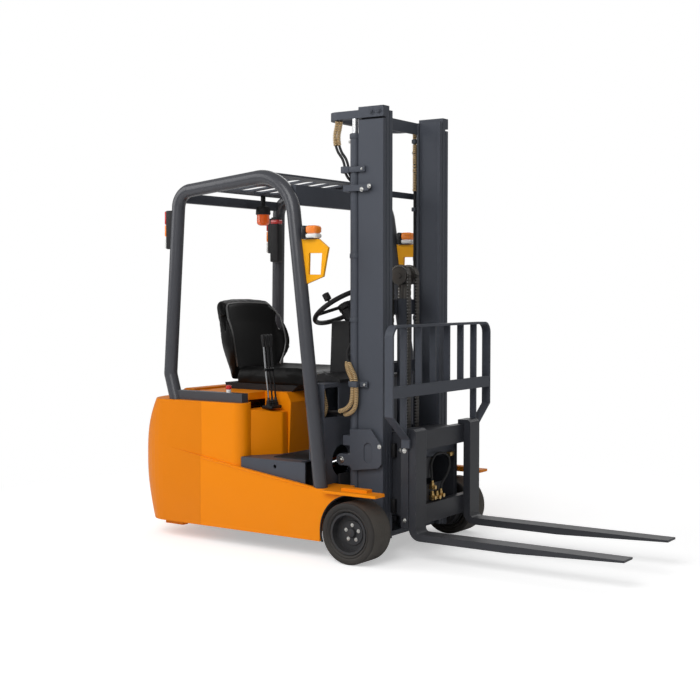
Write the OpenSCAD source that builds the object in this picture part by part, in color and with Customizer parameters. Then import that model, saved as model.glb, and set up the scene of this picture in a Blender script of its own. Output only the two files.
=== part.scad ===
// Compact three-wheel electric counterbalance forklift with a three-stage mast.
// Lengths are in millimetres, +X points to the fork tips, +Y to the driver's left, +Z up.
// The origin lies on the floor under the middle of the overall length.

/* [Front wheels] */
// Diameter of a front tyre
front_tyre_d = 304; // [290:1:320]
// Width of a front tyre
front_tyre_w = 165; // [140:1:175]
// Diameter of the rim that the tyre is pressed on
front_rim_d = 206; // [180:1:220]
// Width over both front tyres
overall_w = 1120; // [1110:1:1160]

/* [Steered wheels] */
// Distance from the steered wheels back to the rearmost point of the counterweight
rear_overhang = 287; // [275:1:310]
// Diameter of a steered tyre
rear_tyre_d = 250; // [230:1:256]
// Width of one steered tyre
rear_tyre_w = 95; // [80:1:100]
// Free space between the twin steered tyres
rear_gap = 46; // [40:1:60]
// Diameter of the kingpin of the steered unit
kingpin_d = 120; // [100:1:130]

/* [Body] */
// Distance from the front axle to the rearmost point of the counterweight
rear_reach = 1477; // [1460:1:1520]
// How far the side skirts stand in from the tyres' outer faces
skirt_inset = 30; // [22:1:35]
// Height of the underside of the body
body_z = 91; // [80:1:100]
// Height of the counterweight's deck
deck_z = 745; // [730:1:755]
// Corner radius of the counterweight seen from above
corner_r = 250; // [200:1:300]
// Distance from the front axle back to the joint between counterweight and side panels
seam_x = 960; // [950:1:966]
// How far the upper body sides stand in from the skirts
crease_inset = 10; // [6:1:14]
// Height of the driver's floor
floor_z = 470; // [466:1:474]
// Thickness of the floor and cowl plates
plate_t = 8; // [6:1:10]
// Thickness of the chassis side plates
chassis_t = 12; // [10:1:14]

/* [Hood and seat] */
// How far the hood's lid stands in from the skirts
hood_inset = 125; // [122:1:140]
// Width of the hood's front pedestal
pedestal_w = 500; // [480:1:504]
// Height of the flat top of the hood
hood_z = 790; // [785:1:800]
// Wall of the hood
hood_t = 10; // [6:1:12]
// Width of the seat cushion
seat_w = 470; // [440:1:500]
// Length of the seat cushion
seat_len = 500; // [460:1:506]
// Height of the top of the seat back
seat_top_z = 1294; // [1250:1:1320]

/* [Overhead guard] */
// Diameter of the guard's tube
guard_tube_d = 72; // [64:1:74]
// How far the roof tubes stand in from the skirts
guard_inset = 94; // [90:1:98]
// Inward lean of the guard's sides in degrees
guard_lean = 1.95; // [1.8:0.05:2.1]
// Thickness of the roof plate
roof_t = 10; // [8:1:14]
// Height of the header beam
header_h = 100; // [80:1:110]

/* [Steering] */
// Diameter of the steering wheel at the middle of its rim
steering_wheel_d = 350; // [330:1:360]
// Thickness of the steering wheel's rim
steering_rim_d = 26; // [22:1:30]
// Tilt of the steering wheel from level in degrees
steering_tilt = 32; // [28:1:34]

/* [Mast] */
// Height of the lowered mast
mast_h = 2234; // [2180:1:2300]
// Free space between a front tyre and the mast
mast_gap = 78.5; // [77:0.5:80]
// Depth of a rail from front to back
rail_d = 147; // [144:1:150]
// Distance of the rails' front faces ahead of the front axle
rail_front = 48; // [44:1:52]
// Width of one rail
rail_w = 25; // [24:1:26]
// Free space between neighbouring rails
rail_gap = 5; // [5:1:6]
// Thickness of a rail's web
rail_web = 9; // [8:1:10]
// Thickness of a rail's flange
rail_flange = 16; // [14:1:18]
// Diameter of a side lift cylinder
lift_barrel_d = 48; // [44:1:48]
// Diameter of a side lift rod
lift_rod_d = 30; // [26:1:32]
// Diameter of the free-lift cylinder in the middle
free_barrel_d = 76; // [70:1:80]
// Diameter of the free-lift rod
free_rod_d = 46; // [40:1:50]
// Height of the middle of the chain sheaves
sheave_z = 1402; // [1380:1:1420]
// Diameter of a chain sheave
sheave_d = 90; // [80:1:96]

/* [Carriage and forks] */
// How far the ends of the carriage stand out past the sides of the mast
carriage_lap = 11.5; // [9:0.5:15]
// Length of a fork blade
fork_len = 1070; // [1050:1:1200]
// Distance of the forks' faces ahead of the front axle
fork_face = 242; // [238:1:246]
// Width of a fork
fork_w = 100; // [90:1:110]
// Thickness of a fork at its heel
fork_t = 35; // [32:1:40]
// Thickness of a fork at its tip
fork_tip_t = 10; // [8:1:12]
// Distance between the fork centres
fork_pitch = 544; // [520:1:560]
// Height of the forks' upper faces
fork_z = 141; // [136:1:146]
// Width of the load backrest
backrest_w = 982; // [960:1:1000]
// Height of the top of the load backrest
backrest_z = 1161; // [1140:1:1200]
// Depth of the backrest's flat bars
backrest_d = 46; // [40:1:50]
// Thickness of the backrest's flat bars
backrest_t = 12; // [10:1:14]

/* [Hidden] */
$fn = 48;
seat_fit = 0.3;
pin_fit = 0.1;
axle_x = (rear_reach - fork_face - fork_len) / 2;
axle_z = front_tyre_d / 2;
wheel_y = (overall_w - front_tyre_w) / 2;
half_body = overall_w / 2 - skirt_inset;
half_mast = overall_w / 2 - front_tyre_w - mast_gap;
carriage_w = 2 * (half_mast + carriage_lap);
hood_w = 2 * (half_body - hood_inset);
guard_y = half_body - guard_inset;
wheelbase = rear_reach - rear_overhang;
rear_axle_z = rear_tyre_d / 2;

// Chassis plates and drive units
spindle_r = 30;
chassis_y = half_mast + 15.5;
chassis_out_y = chassis_y + chassis_t;
drive_in_y = chassis_out_y + 2;
drive_out_y = wheel_y - front_tyre_w / 2 - 5;
drive_r = 95;
motor_x = -300;
motor_z = 225;
motor_r = 80;
tray_z = body_z + 9;

// Mast pivot and tilt cylinder
pivot_x = -25;
pivot_z = 130;
pivot_r = 25;
tilt_y = half_mast - 31.5;
tilt_pin_x = -187;
tilt_pin_z = 477;
tilt_base_x = -600;
tilt_base_z = 330;
tilt_pin_r = 15;
tilt_barrel_r = 30;
tilt_rod_r = 16;
tilt_len = norm([tilt_pin_x - tilt_base_x, tilt_pin_z - tilt_base_z]);
tilt_angle = atan2(tilt_pin_z - tilt_base_z, tilt_pin_x - tilt_base_x);

// Mast stages from the outside to the middle: 0 outer, 1 middle, 2 inner
rail_back = rail_front - rail_d;
roller_r = rail_d / 2 - rail_flange - seat_fit;
roller_w = 11;
stage_foot = [75, 80, 85];
head_h = 54;
head_z = mast_h - head_h;
stage_top = [head_z - 10, mast_h, mast_h - 20];
inner_back = rail_back + 7;
tie_t = 12;
lift_x = rail_back - lift_barrel_d / 2 - 5;
lift_y = half_mast - rail_w - rail_gap - rail_w + lift_barrel_d / 2 + 16.5;
lift_barrel_top = mast_h - 127;
tie_back = lift_x - lift_barrel_d / 2 - 12;
free_x = -25;
bow_x = -300;

// Carriage
carriage_back = 160;
carriage_front = fork_face - 40;
side_plate_y = half_mast - 3 * rail_w - 2 * rail_gap - 5;
side_plate_t = 30;
carriage_low = 215;
carriage_top = 630;
bar_h = 95;
low_bar_z = 165;

// Guard side outline in the XZ plane: points and bend radii
roof_z = 1900;
guard_points = [[-1160, 700], [-1218, 879], [-1178, 1853], [-435, 1927], [-205, 331]];
guard_bends = [0, 60, 90, 220, 0];
fender_z = 352;
guard_r = guard_tube_d / 2;
roof_slope = atan2(guard_points[3].y - guard_points[2].y, guard_points[3].x - guard_points[2].x);

// Steering column and wheel
column_top = [-392, 1165];
wheel_hub = [-400, 0, 1245];

// Hood hinge
hinge_x = -1092;
hinge_z = 765;
hinge_r = 8;
hinge_y = hood_w / 2 - 95;
hinge_lug = 40;

orange = [0.95, 0.52, 0.03];
charcoal = [0.24, 0.25, 0.29];
black = [0.07, 0.07, 0.08];
steel = [0.75, 0.76, 0.78];

// Helpers

// Moves parts drawn from the front axle to the origin under the middle of the length
module from_axle() {
    translate([axle_x, 0, 0])
        children();
}

// Draws the left side as written, or the right side mirrored
module sided(side) {
    mirror([0, side < 0 ? 1 : 0, 0])
        children();
}

module both_sides() {
    for (side = [-1, 1])
        sided(side)
            children();
}

// Rounded rectangle with true arcs, from corner a to corner b
module round_rect(a, b, r) {
    translate([a.x + r, a.y])
        square([b.x - a.x - 2 * r, b.y - a.y]);
    translate([a.x, a.y + r])
        square([b.x - a.x, b.y - a.y - 2 * r]);
    for (x = [a.x + r, b.x - r], y = [a.y + r, b.y - r])
        translate([x, y])
            circle(r);
}

// Upright plate from y0 to y1 whose outline is drawn in X and Z
module upright(y0, y1) {
    translate([0, y1, 0])
        rotate([90, 0, 0])
            linear_extrude(y1 - y0)
                children();
}

// Box between two corners
module block(a, b) {
    translate(a)
        cube(b - a);
}

// Round bar between two points of one XZ plane at depth y
module bar_xz(p, q, r, y = 0) {
    translate([p.x, y, p.y])
        rotate([0, 90 - atan2(q.y - p.y, q.x - p.x), 0])
            cylinder(r = r, h = norm(q - p));
}

// Pin or disc along Y
module pin_y(x, z, r, y0, y1) {
    translate([x, y1, z])
        rotate([90, 0, 0])
            cylinder(r = r, h = y1 - y0);
}

// Points on an arc about c, from angle a0 to a1
function arc(c, r, a0, a1, n = 8) =
    [for (i = [0 : n]) let (a = a0 + (a1 - a0) * i / n) c + r * [cos(a), sin(a)]];

// Tangent length, turn and direction of a bent tube's corners
function heading(p, q) = atan2(q.y - p.y, q.x - p.x);
function wrap(a) = a > 180 ? a - 360 : a < -180 ? a + 360 : a;
function turn(pts, i) = wrap(heading(pts[i], pts[i + 1]) - heading(pts[i - 1], pts[i]));
function lead(pts, bends, i) =
    i == 0 || i == len(pts) - 1 ? 0 : bends[i] * tan(abs(turn(pts, i)) / 2);
function along(p, a, d) = p + d * [cos(a), sin(a)];

// Straight runs end inside the elbows, a hair thinner than them
elbow_lap = 3;
elbow_step = 0.4;

// Round tube bent along an outline in the XZ plane
module bent_tube(pts, bends, r) {
    for (i = [0 : len(pts) - 2]) {
        a = heading(pts[i], pts[i + 1]);
        bar_xz(along(pts[i], a, lead(pts, bends, i) - elbow_lap),
            along(pts[i + 1], a, elbow_lap - lead(pts, bends, i + 1)), r - elbow_step);
    }
    for (i = [1 : len(pts) - 2]) {
        a = heading(pts[i - 1], pts[i]);
        t = turn(pts, i);
        side = t > 0 ? 1 : -1;
        start = along(pts[i], a, -lead(pts, bends, i));
        c = along(start, a + side * 90, bends[i]);
        translate([c.x, 0, c.y])
            rotate([90, 0, 0])
                rotate([0, 0, side > 0 ? a - 90 : a + 90 + t])
                    rotate_extrude(angle = abs(t))
                        translate([bends[i], 0])
                            circle(r);
    }
}

// Leans the guard's side outward towards its feet, about its roof tube
module guard_plane(side) {
    sided(side)
        translate([0, guard_y, roof_z])
            rotate([guard_lean, 0, 0])
                translate([0, 0, -roof_z])
                    children();
}

// Front and steered wheels

module tyre_shape(outer_r, inner_r, w, shoulder) {
    rotate([90, 0, 0])
        rotate_extrude()
            round_rect([inner_r, -w / 2], [outer_r, w / 2], shoulder);
}

module tyre(side) {
    color(black)
        from_axle()
            translate([0, side * wheel_y, axle_z])
                tyre_shape(front_tyre_d / 2, front_rim_d / 2, front_tyre_w, 16);
}

module tyre_right() {
    tyre(-1);
}

module tyre_left() {
    tyre(1);
}

// Dished rim with its hub and blind spindle bore
module rim(side) {
    rim_r = front_rim_d / 2 - seat_fit;
    half_w = front_tyre_w / 2 - 6;
    color(charcoal)
        from_axle()
            translate([0, side * wheel_y, axle_z])
                sided(side)
                    difference() {
                        rotate([-90, 0, 0])
                            rotate_extrude()
                                union() {
                                    translate([rim_r - 12, -half_w])
                                        square([12, 2 * half_w]);
                                    translate([0, 18])
                                        square([rim_r, 14]);
                                    translate([0, -half_w])
                                        square([60, half_w + 38]);
                                }
                        rotate([-90, 0, 0])
                            translate([0, 0, -half_w - 1])
                                cylinder(r = spindle_r + pin_fit, h = half_w + 20);
                    }
}

module rim_right() {
    rim(-1);
}

module rim_left() {
    rim(1);
}

module rear_place() {
    from_axle()
        translate([-wheelbase, 0, rear_axle_z])
            children();
}

rear_wheel_y = (rear_gap + rear_tyre_w) / 2;
rear_rim_r = rear_tyre_d / 2 - 45;
rear_pin_r = 22;

module rear_tyres() {
    color(black)
        rear_place()
            for (side = [-1, 1])
                translate([0, side * rear_wheel_y, 0])
                    tyre_shape(rear_tyre_d / 2, rear_rim_r, rear_tyre_w, 12);
}

module rear_rims() {
    color(charcoal)
        rear_place()
            both_sides()
                translate([0, rear_wheel_y, 0])
                    rotate([-90, 0, 0])
                        difference() {
                            translate([0, 0, -rear_tyre_w / 2 + 4])
                                cylinder(r = rear_rim_r - seat_fit, h = rear_tyre_w - 8);
                            translate([0, 0, -rear_tyre_w / 2])
                                cylinder(r = rear_pin_r + pin_fit, h = rear_tyre_w);
                            translate([0, 0, rear_tyre_w / 2 - 30])
                                cylinder(r = rear_rim_r - 14, h = 40);
                        }
}

pocket_z = rear_tyre_d + 50;
kingpin_top = pocket_z + 120;
yoke_half = rear_gap / 2 - 5;

// Turntable, kingpin, middle leg and axle pin of the twin steered wheels
module steer_yoke() {
    color(charcoal)
        rear_place()
            translate([0, 0, -rear_axle_z]) {
                translate([0, 0, pocket_z - 25])
                    cylinder(r = kingpin_d, h = 25 - seat_fit);
                translate([0, 0, pocket_z - 1])
                    cylinder(r = kingpin_d / 2, h = kingpin_top - pocket_z);
                upright(-yoke_half, yoke_half)
                    union() {
                        translate([0, rear_axle_z])
                            circle(46);
                        translate([-46, rear_axle_z])
                            square([92, pocket_z - 20 - rear_axle_z]);
                    }
                pin_y(0, rear_axle_z, rear_pin_r, -rear_wheel_y - rear_tyre_w / 2 + 26,
                    rear_wheel_y + rear_tyre_w / 2 - 26);
            }
}

// Chassis

tray_front = -200;
chassis_nose = 60;

// Side plates, battery tray and front wall
module chassis_frame() {
    color(charcoal)
        from_axle() {
            both_sides() {
                difference() {
                    upright(chassis_y, chassis_out_y)
                        polygon([
                            [-seam_x + seat_fit, tray_z], [chassis_nose, tray_z], [chassis_nose, 230],
                            [-20, 300],
                            [-200, 330], [cowl_front - 20, fender_z - fender_t], [cowl_front - 40, 440],
                            [-640, 440],
                            [-700, 320], [-seam_x + seat_fit, 320]
                        ]);
                    pin_y(pivot_x, pivot_z, pivot_r + pin_fit, chassis_y - 1, chassis_out_y + 1);
                    pin_y(motor_x, motor_z, motor_r + seat_fit, chassis_y - 1, chassis_out_y + 1);
                }
                pin_y(tilt_base_x, tilt_base_z, tilt_pin_r, tilt_y - tilt_barrel_r + 2, chassis_y + 1);
            }
            block([-seam_x + seat_fit, -chassis_y - 1, tray_z],
                [tray_front, chassis_y + 1, tray_z + chassis_t]);
            block([tray_front - chassis_t, -chassis_y - 1, tray_z], [tray_front, chassis_y + 1, 400]);
        }
}

// Gearbox, spindle and motor of each front wheel
module drive_units() {
    color(charcoal)
        from_axle()
            both_sides() {
                pin_y(0, axle_z, drive_r, drive_in_y, drive_out_y);
                upright(drive_in_y, drive_out_y - 12)
                    union() {
                        translate([motor_x, motor_z])
                            circle(motor_r + 8);
                        polygon([[motor_x, motor_z - 80], [0, axle_z - 60], [0, axle_z + 60],
                            [motor_x, motor_z + 80]]);
                    }
                pin_y(motor_x, motor_z, motor_r, 40, drive_in_y + 1);
                pin_y(0, axle_z, spindle_r, drive_out_y - 1, wheel_y + 12);
            }
}

battery_rear = -seam_x + 8;
battery_front = -650;
battery_y = pedestal_w / 2 - hood_t - 12;

module battery() {
    color(black)
        from_axle()
            translate([0, 0, tray_z + chassis_t + seat_fit])
                linear_extrude(570)
                    round_rect([battery_rear, -battery_y], [battery_front, battery_y], 12);
}

floor_front = -330;
floor_rear = -700;
flange_y = half_body - 22;
flange_front = -290;
toe_z = 600;
column_half = 70;

// Driver's floor with its toe board and side flanges
module floor_plate() {
    color(charcoal)
        from_axle() {
            difference() {
                block([floor_rear, -flange_y, floor_z - plate_t], [floor_front, flange_y, floor_z]);
                block([floor_rear - 1, -battery_y - 6, floor_z - plate_t - 1],
                    [battery_front + 8, battery_y + 6, floor_z + 1]);
            }
            both_sides()
                upright(column_half + 2, chassis_y)
                    polygon([
                        [floor_front - 10, floor_z - plate_t], [floor_front, floor_z - plate_t],
                        [cowl_rear - seat_fit, toe_z], [cowl_rear - seat_fit, toe_z + 12]
                    ]);
            both_sides()
                difference() {
                    upright(flange_y - plate_t, flange_y)
                        polygon([
                            [floor_rear, crease_z(floor_rear) - 40],
                            [flange_front, crease_z(flange_front) - 20],
                            [flange_front, floor_z],
                            [floor_rear, floor_z]
                        ]);
                    pin_y(-480, 436, 10, flange_y - plate_t - 1, flange_y + 1);
                }
        }
}

cowl_front = -228;
cowl_rear = -322;
cowl_y = guard_y - 6;
cowl_top = 860;

// Front cowl with the hose opening and the tilt cylinders' holes
module cowl() {
    color(charcoal)
        from_axle()
            difference() {
                union() {
                    block([cowl_front - plate_t, -cowl_y, fender_z + seat_fit],
                        [cowl_front, cowl_y, cowl_top]);
                    block([cowl_rear, -cowl_y, toe_z], [cowl_rear + plate_t, cowl_y, cowl_top]);
                    block([cowl_rear, -cowl_y, cowl_top - plate_t], [cowl_front, cowl_y, cowl_top]);
                    both_sides()
                        block([cowl_rear, cowl_y - plate_t, floor_z + seat_fit],
                            [cowl_front, cowl_y, cowl_top]);
                }
                both_sides()
                    translate([cowl_front - plate_t - 1, tilt_y - 5, 462])
                        rotate([0, 90, 0])
                            cylinder(r = 80, h = plate_t + 2);
                translate([cowl_front - plate_t - 1, 0, 0])
                    rotate([90, 0, 90])
                        linear_extrude(plate_t + 2)
                            round_rect([5 - cowl_y, 690], [130 - cowl_y, 840], 12);
            }
}

// Height of the crease along the body's side
function crease_z(x) = x < -662 ? 414 + (-662 - x) * 77 / 520 : 351 + (-179 - x) * 63 / 483;

arch_r = 184;
fender_tip = 163;
fender_t = 14;
fender_rear = -240;
fender_in = wheel_y - 10.5;
wing_front = -690;
wing_y = half_body - 90;

// Skirt with its wheel arch and fender, wing and side console
module side_panel(side) {
    color(orange)
        from_axle()
            sided(side) {
                difference() {
                    upright(half_body - 20, half_body)
                        polygon(concat(
                            [[-seam_x + seat_fit, body_z]],
                            [[-arch_r, body_z]],
                            arc([0, axle_z], arch_r, 180, 96, 10),
                            [[-20, fender_z - 1], [-200, fender_z - 1]],
                            [for (x = [fender_rear, -662, -seam_x + seat_fit]) [x, crease_z(x)]]
                        ));
                    guard_plane(1)
                        guard_tube(seat_fit);
                }
                fender();
                wing();
                console();
            }
}

// Fender plate over the outer half of the tyre, with its raised block
module fender() {
    translate([0, 0, fender_z - fender_t])
        linear_extrude(fender_t)
            polygon([
                [fender_rear, chassis_out_y + 2], [-100, chassis_out_y + 2], [-60, fender_in - 2],
                [fender_tip - 14, fender_in + 2], [fender_tip, fender_in + 12], [fender_tip, overall_w / 2],
                [-150, overall_w / 2], [-150, half_body], [fender_rear, half_body]
            ]);
    block([-66, fender_in, fender_z - 1], [83, fender_in + 47, fender_z + fender_t]);
}

// Upper body side ahead of the counterweight, with a rounded front edge
module wing() {
    y1 = half_body - crease_inset;
    difference() {
        linear_extrude(deck_z)
            union() {
                square_between([-seam_x + seat_fit, wing_y], [wing_front, y1 - 60]);
                square_between([-seam_x + seat_fit, wing_y], [wing_front - 60, y1]);
                translate([wing_front - 60, y1 - 60])
                    circle(60);
            }
        upright(0, half_body + 1)
            polygon([
                [-seam_x - 1, -1], [wing_front + 1, -1], [wing_front + 1, floor_z + seat_fit],
                [floor_rear - seat_fit, floor_z + seat_fit],
                [floor_rear - seat_fit, crease_z(floor_rear) - 40], [-seam_x - 1, crease_z(-seam_x) - 40]
            ]);
        block([-seam_x + 40, wing_y + 20, -1], [wing_front - 30, y1 - 20, deck_z - 20]);
    }
}

module square_between(a, b) {
    translate(a)
        square(b - a);
}

console_top = 708;

// Tapered corner beside the hood that carries the levers
module console() {
    y0 = pedestal_w / 2 + 8;
    difference() {
        translate([0, 0, floor_z + seat_fit])
            linear_extrude(console_top - floor_z)
                polygon(concat(
                    [[-740, y0], [-590, y0]],
                    arc([-622, y0 + 30], 32, 0, 30, 4),
                    [[wing_front - 2, wing_y], [wing_front - 2, wing_y + 30], [-740, wing_y + 30]]
                ));
        upright(0, half_body)
            polygon([[-690, console_top + 1], [-560, console_top - 24], [-560, console_top + 1]]);
    }
}

module side_panel_right() {
    side_panel(-1);
}

module side_panel_left() {
    side_panel(1);
}

tow_z = 300;
tow_w = 90;
tow_depth = 86;
pocket_r = 190;
tow_bore_r = 16;
belt_z = 400;
bulge_top = 105;
bulge_low = 75;
casting_layers = 20;
crease_end = -1182;

// How far the rear of the casting stands in from its widest point at height z
function rear_inset(z) =
    z > belt_z ? bulge_top * pow((z - belt_z) / (deck_z - belt_z), 3)
        : bulge_low * pow((belt_z - z) / (belt_z - body_z), 2);

// Plan outline of the casting at height z
function casting_ring(z) =
    let (c = corner_r - rear_reach, long = corner_r - rear_inset(z), side = half_body - corner_r)
    concat(
        [[-seam_x, half_body, z]],
        [for (i = [0 : 12]) let (a = 90 + i * 7.5) [c + long * cos(a), side + corner_r * sin(a), z]],
        [for (i = [0 : 12]) let (a = 180 + i * 7.5) [c + long * cos(a), corner_r * sin(a) - side, z]],
        [[-seam_x, -half_body, z]]
    );

// Casting with a barrel-shaped rear, built up from its plan outlines
module casting() {
    rings = [for (k = [0 : casting_layers]) casting_ring(body_z + (deck_z - body_z) * k / casting_layers)];
    n = len(rings[0]);
    polyhedron(
        points = [for (ring = rings) each ring],
        faces = concat(
            [[for (i = [0 : n - 1]) i]],
            [[for (i = [n - 1 : -1 : 0]) casting_layers * n + i]],
            [for (k = [0 : casting_layers - 1], i = [0 : n - 1])
                [k * n + i, (k + 1) * n + i, (k + 1) * n + (i + 1) % n]],
            [for (k = [0 : casting_layers - 1], i = [0 : n - 1])
                [k * n + i, (k + 1) * n + (i + 1) % n, k * n + (i + 1) % n]]
        )
    );
}

// Cast counterweight with wheel pocket, tow jaw and a groove across its rear
module counterweight() {
    color(orange)
        from_axle()
            difference() {
                casting();
                upright(-half_body, half_body)
                    polygon([[-rear_reach - 1, 266], [-rear_reach + 18, 295], [-rear_reach - 1, 324]]);
                both_sides()
                    crease_cut();
                translate([-wheelbase, 0, body_z - 1])
                    cylinder(r = pocket_r, h = pocket_z - body_z + 1);
                translate([-wheelbase, 0, pocket_z - 1])
                    cylinder(r = kingpin_d / 2 + pin_fit, h = kingpin_top - pocket_z + 1);
                block([-rear_reach - 1, -tow_w / 2, tow_z - 50],
                    [-rear_reach + tow_depth, tow_w / 2, tow_z + 30]);
                block([-rear_reach - 1, -tow_w / 2, tow_z + 80],
                    [-rear_reach + tow_depth, tow_w / 2, tow_z + 300]);
                translate([-rear_reach + tow_depth / 2, 0, body_z - 1])
                    cylinder(r = tow_bore_r, h = tow_z + 82 - body_z);
            }
    color(orange)
        from_axle()
            both_sides()
                block([-1234, half_body - 70, body_z - 21], [-1110, half_body - 30, body_z + 1]);
    color(orange)
        from_axle()
            both_sides()
                difference() {
                    upright(hinge_y, hinge_y + hinge_lug)
                        union() {
                            translate([hinge_x, hinge_z])
                                circle(16);
                            square_between([hinge_x - 16, deck_z - 1], [hinge_x + 16, hinge_z]);
                        }
                    pin_y(hinge_x, hinge_z, hinge_r + pin_fit, hinge_y - 1, hinge_y + hinge_lug + 1);
                }
    color(orange)
        from_axle()
            upright(-hood_w / 2, hood_w / 2)
                polygon(concat(
                    [[hinge_x - 16, deck_z - 1], [hinge_x - 16, hood_z + 8]],
                    arc([hinge_x - 70, hood_z - 24], 34, 80, 170, 6),
                    [[hinge_x - 118, deck_z - 1]]
                ));
}

// Shallow wedge that sets the upper side in above the crease and fades out towards the rear
module crease_cut() {
    intersection() {
        upright(half_body - crease_inset - 1, half_body + 2)
            polygon([
                [crease_end - 60, crease_z(crease_end - 60)], [-seam_x + 1, crease_z(-seam_x)],
                [-seam_x + 1, deck_z + 1],
                [crease_end - 60, deck_z + 1]
            ]);
        linear_extrude(deck_z + 2)
            polygon([
                [crease_end, half_body + 0.5], [-seam_x + 1, half_body - crease_inset],
                [-seam_x + 1, half_body + 1],
                [crease_end, half_body + 1]
            ]);
    }
}

// Driver's place

// Column, dash lip and the neck that carries the steering wheel
module steering_column() {
    color(black)
        from_axle() {
            block([-446, -column_half, floor_z + seat_fit],
                [cowl_rear - seat_fit, column_half, cowl_top + 40]);
            difference() {
                union() {
                    hull() {
                        block([-446, -column_half, cowl_top + 30], [cowl_rear, column_half, cowl_top + 40]);
                        block([column_top.x - 56, -52, column_top.y - 10],
                            [column_top.x + 56, 52, column_top.y]);
                    }
                    translate(wheel_hub)
                        rotate([0, -steering_tilt, 0])
                            translate([0, 0, -100])
                                cylinder(r = 34, h = 74);
                }
                translate(wheel_hub)
                    rotate([0, -steering_tilt, 0])
                        translate([0, 0, -60])
                            cylinder(r = 12 + pin_fit, h = 120);
            }
            upright(-300, 300)
                polygon([
                    [-400, cowl_top + seat_fit], [cowl_front + 6, cowl_top + seat_fit],
                    [cowl_front + 6, cowl_top + 16],
                    [-330, cowl_top + 44], [-400, cowl_top + 30]
                ]);
        }
}

module steering_wheel() {
    color(black)
        from_axle()
            translate(wheel_hub)
                rotate([0, -steering_tilt, 0]) {
                    rotate_extrude()
                        translate([steering_wheel_d / 2, 0])
                            circle(steering_rim_d / 2);
                    for (a = [0, 120, 240])
                        rotate([0, 90, a])
                            cylinder(r = 9, h = steering_wheel_d / 2);
                    translate([0, 0, -20])
                        cylinder(r = 38, h = 30);
                    translate([0, 0, -55])
                        cylinder(r = 12, h = 40);
                    rotate([0, 0, -80])
                        translate([steering_wheel_d / 2, 0, 0]) {
                            cylinder(r = 6, h = 30);
                            translate([0, 0, 22])
                                cylinder(r = 19, h = 34);
                        }
                }
}

// Accelerator and brake pads on their arms from the toe board
module pedals() {
    color(black)
        from_axle()
            for (y = [-230, -125])
                translate([floor_front - 60, y, floor_z + 75])
                    rotate([0, 32, 0]) {
                        block([-45, -32, -6], [45, 32, 6]);
                        block([30, -8, -61.5], [42, 8, 1]);
                    }
}

lever_x = -666;
lever_in = 89;
lever_y = lever_in - hood_w / 2;

// Boot plate with the three levers and grips
module lever_set() {
    color(black)
        from_axle()
            translate([lever_x, lever_y, console_top + 1]) {
                linear_extrude(16)
                    round_rect([-32, -48], [32, 48], 14);
                for (i = [-1, 0, 1])
                    translate([0, i * 30, 10])
                        rotate([0, -4, 0]) {
                            cylinder(r = 6, h = 330);
                            cylinder(r1 = 14, r2 = 8, h = 40);
                            translate([0, 0, 318])
                                cylinder(r = 13, h = 62);
                        }
            }
}

// Overhead guard

module guard_tube(grow = 0) {
    bent_tube(guard_points, guard_bends, guard_r + grow);
}

base_rail_y = half_body - 68;

// Side of the guard: bent tube and base rail on the deck
module guard_side(side) {
    color(charcoal)
        from_axle()
            difference() {
                union() {
                    guard_plane(side)
                        guard_tube();
                    sided(side)
                        block([guard_points[0].x, base_rail_y - 25, deck_z + seat_fit],
                            [wing_front - 20, base_rail_y + 25, deck_z + 48]);
                }
                block([-2000, -800, 600], [-600, 800, deck_z + seat_fit]);
                block([-500, -800, 200], [100, 800, fender_z + seat_fit]);
            }
}

module guard_right() {
    guard_side(-1);
}

module guard_left() {
    guard_side(1);
}

slot_pitch = (guard_y - 64) / 3;
slot_w = slot_pitch - 34;

roof_low = guard_r - 24;

// Roof plate with its slots, header and rear beam
module guard_roof() {
    plate_y = guard_y - guard_r / 4;
    color(charcoal)
        from_axle()
            difference() {
                union() {
                    translate([guard_points[2].x, 0, guard_points[2].y])
                        rotate([0, -roof_slope, 0])
                            difference() {
                                block([48, -plate_y, roof_low], [600, plate_y, roof_low + roof_t]);
                                for (x = [120, 350], i = [-2.5 : 2.5])
                                    translate([x, i * slot_pitch - slot_w / 2, 0])
                                        linear_extrude(guard_r)
                                            round_rect([0, 0], [190, slot_w], slot_w / 2 - 1);
                            }
                    block([-440, -plate_y, 1860 - header_h], [-404, plate_y, 1860]);
                    block([-1205, -plate_y, 1800], [-1165, plate_y, 1850]);
                }
                both_sides()
                    guard_plane(1)
                        guard_tube(seat_fit);
            }
}

lamp_foot = 1582;
lamp_plate_t = 14;

// Lamp frames that reach forward from the front pillars
module lamp_brackets() {
    color(orange)
        from_axle()
            both_sides()
                difference() {
                    upright(guard_y + 2, guard_y + 2 + lamp_plate_t)
                        difference() {
                            polygon([
                                [-400, 1598], [-342, lamp_foot], [-244, lamp_foot], [-187, 1539],
                                [-218, 1396],
                                [-329, 1357], [-372, 1400]
                            ]);
                            polygon([[-304, 1513], [-224, 1512], [-233, 1406], [-307, 1407]]);
                        }
                    guard_plane(1)
                        guard_tube(seat_fit);
                    block([-500, 0, 1300], [-374, 800, 1700]);
                }
}

module front_lamps() {
    color([0.9, 0.45, 0.1])
        from_axle()
            both_sides()
                upright(guard_y - 20, guard_y + 42)
                    round_rect([-338, lamp_foot + seat_fit], [-246, lamp_foot + 68], 14);
}

module tail_lamps() {
    color([0.6, 0.05, 0.04])
        from_axle()
            both_sides()
                difference() {
                    upright(guard_y - 20, guard_y + 34)
                        round_rect([-1264, 1549], [-1200, 1758], 10);
                    guard_plane(1)
                        guard_tube(seat_fit);
                    block([-1190, 0, 1500], [-1100, 800, 1800]);
                }
}

beacon_x = -1110;
beacon_y = 200;
beacon_z = 1701;
beacon_stem_r = 14;

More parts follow.
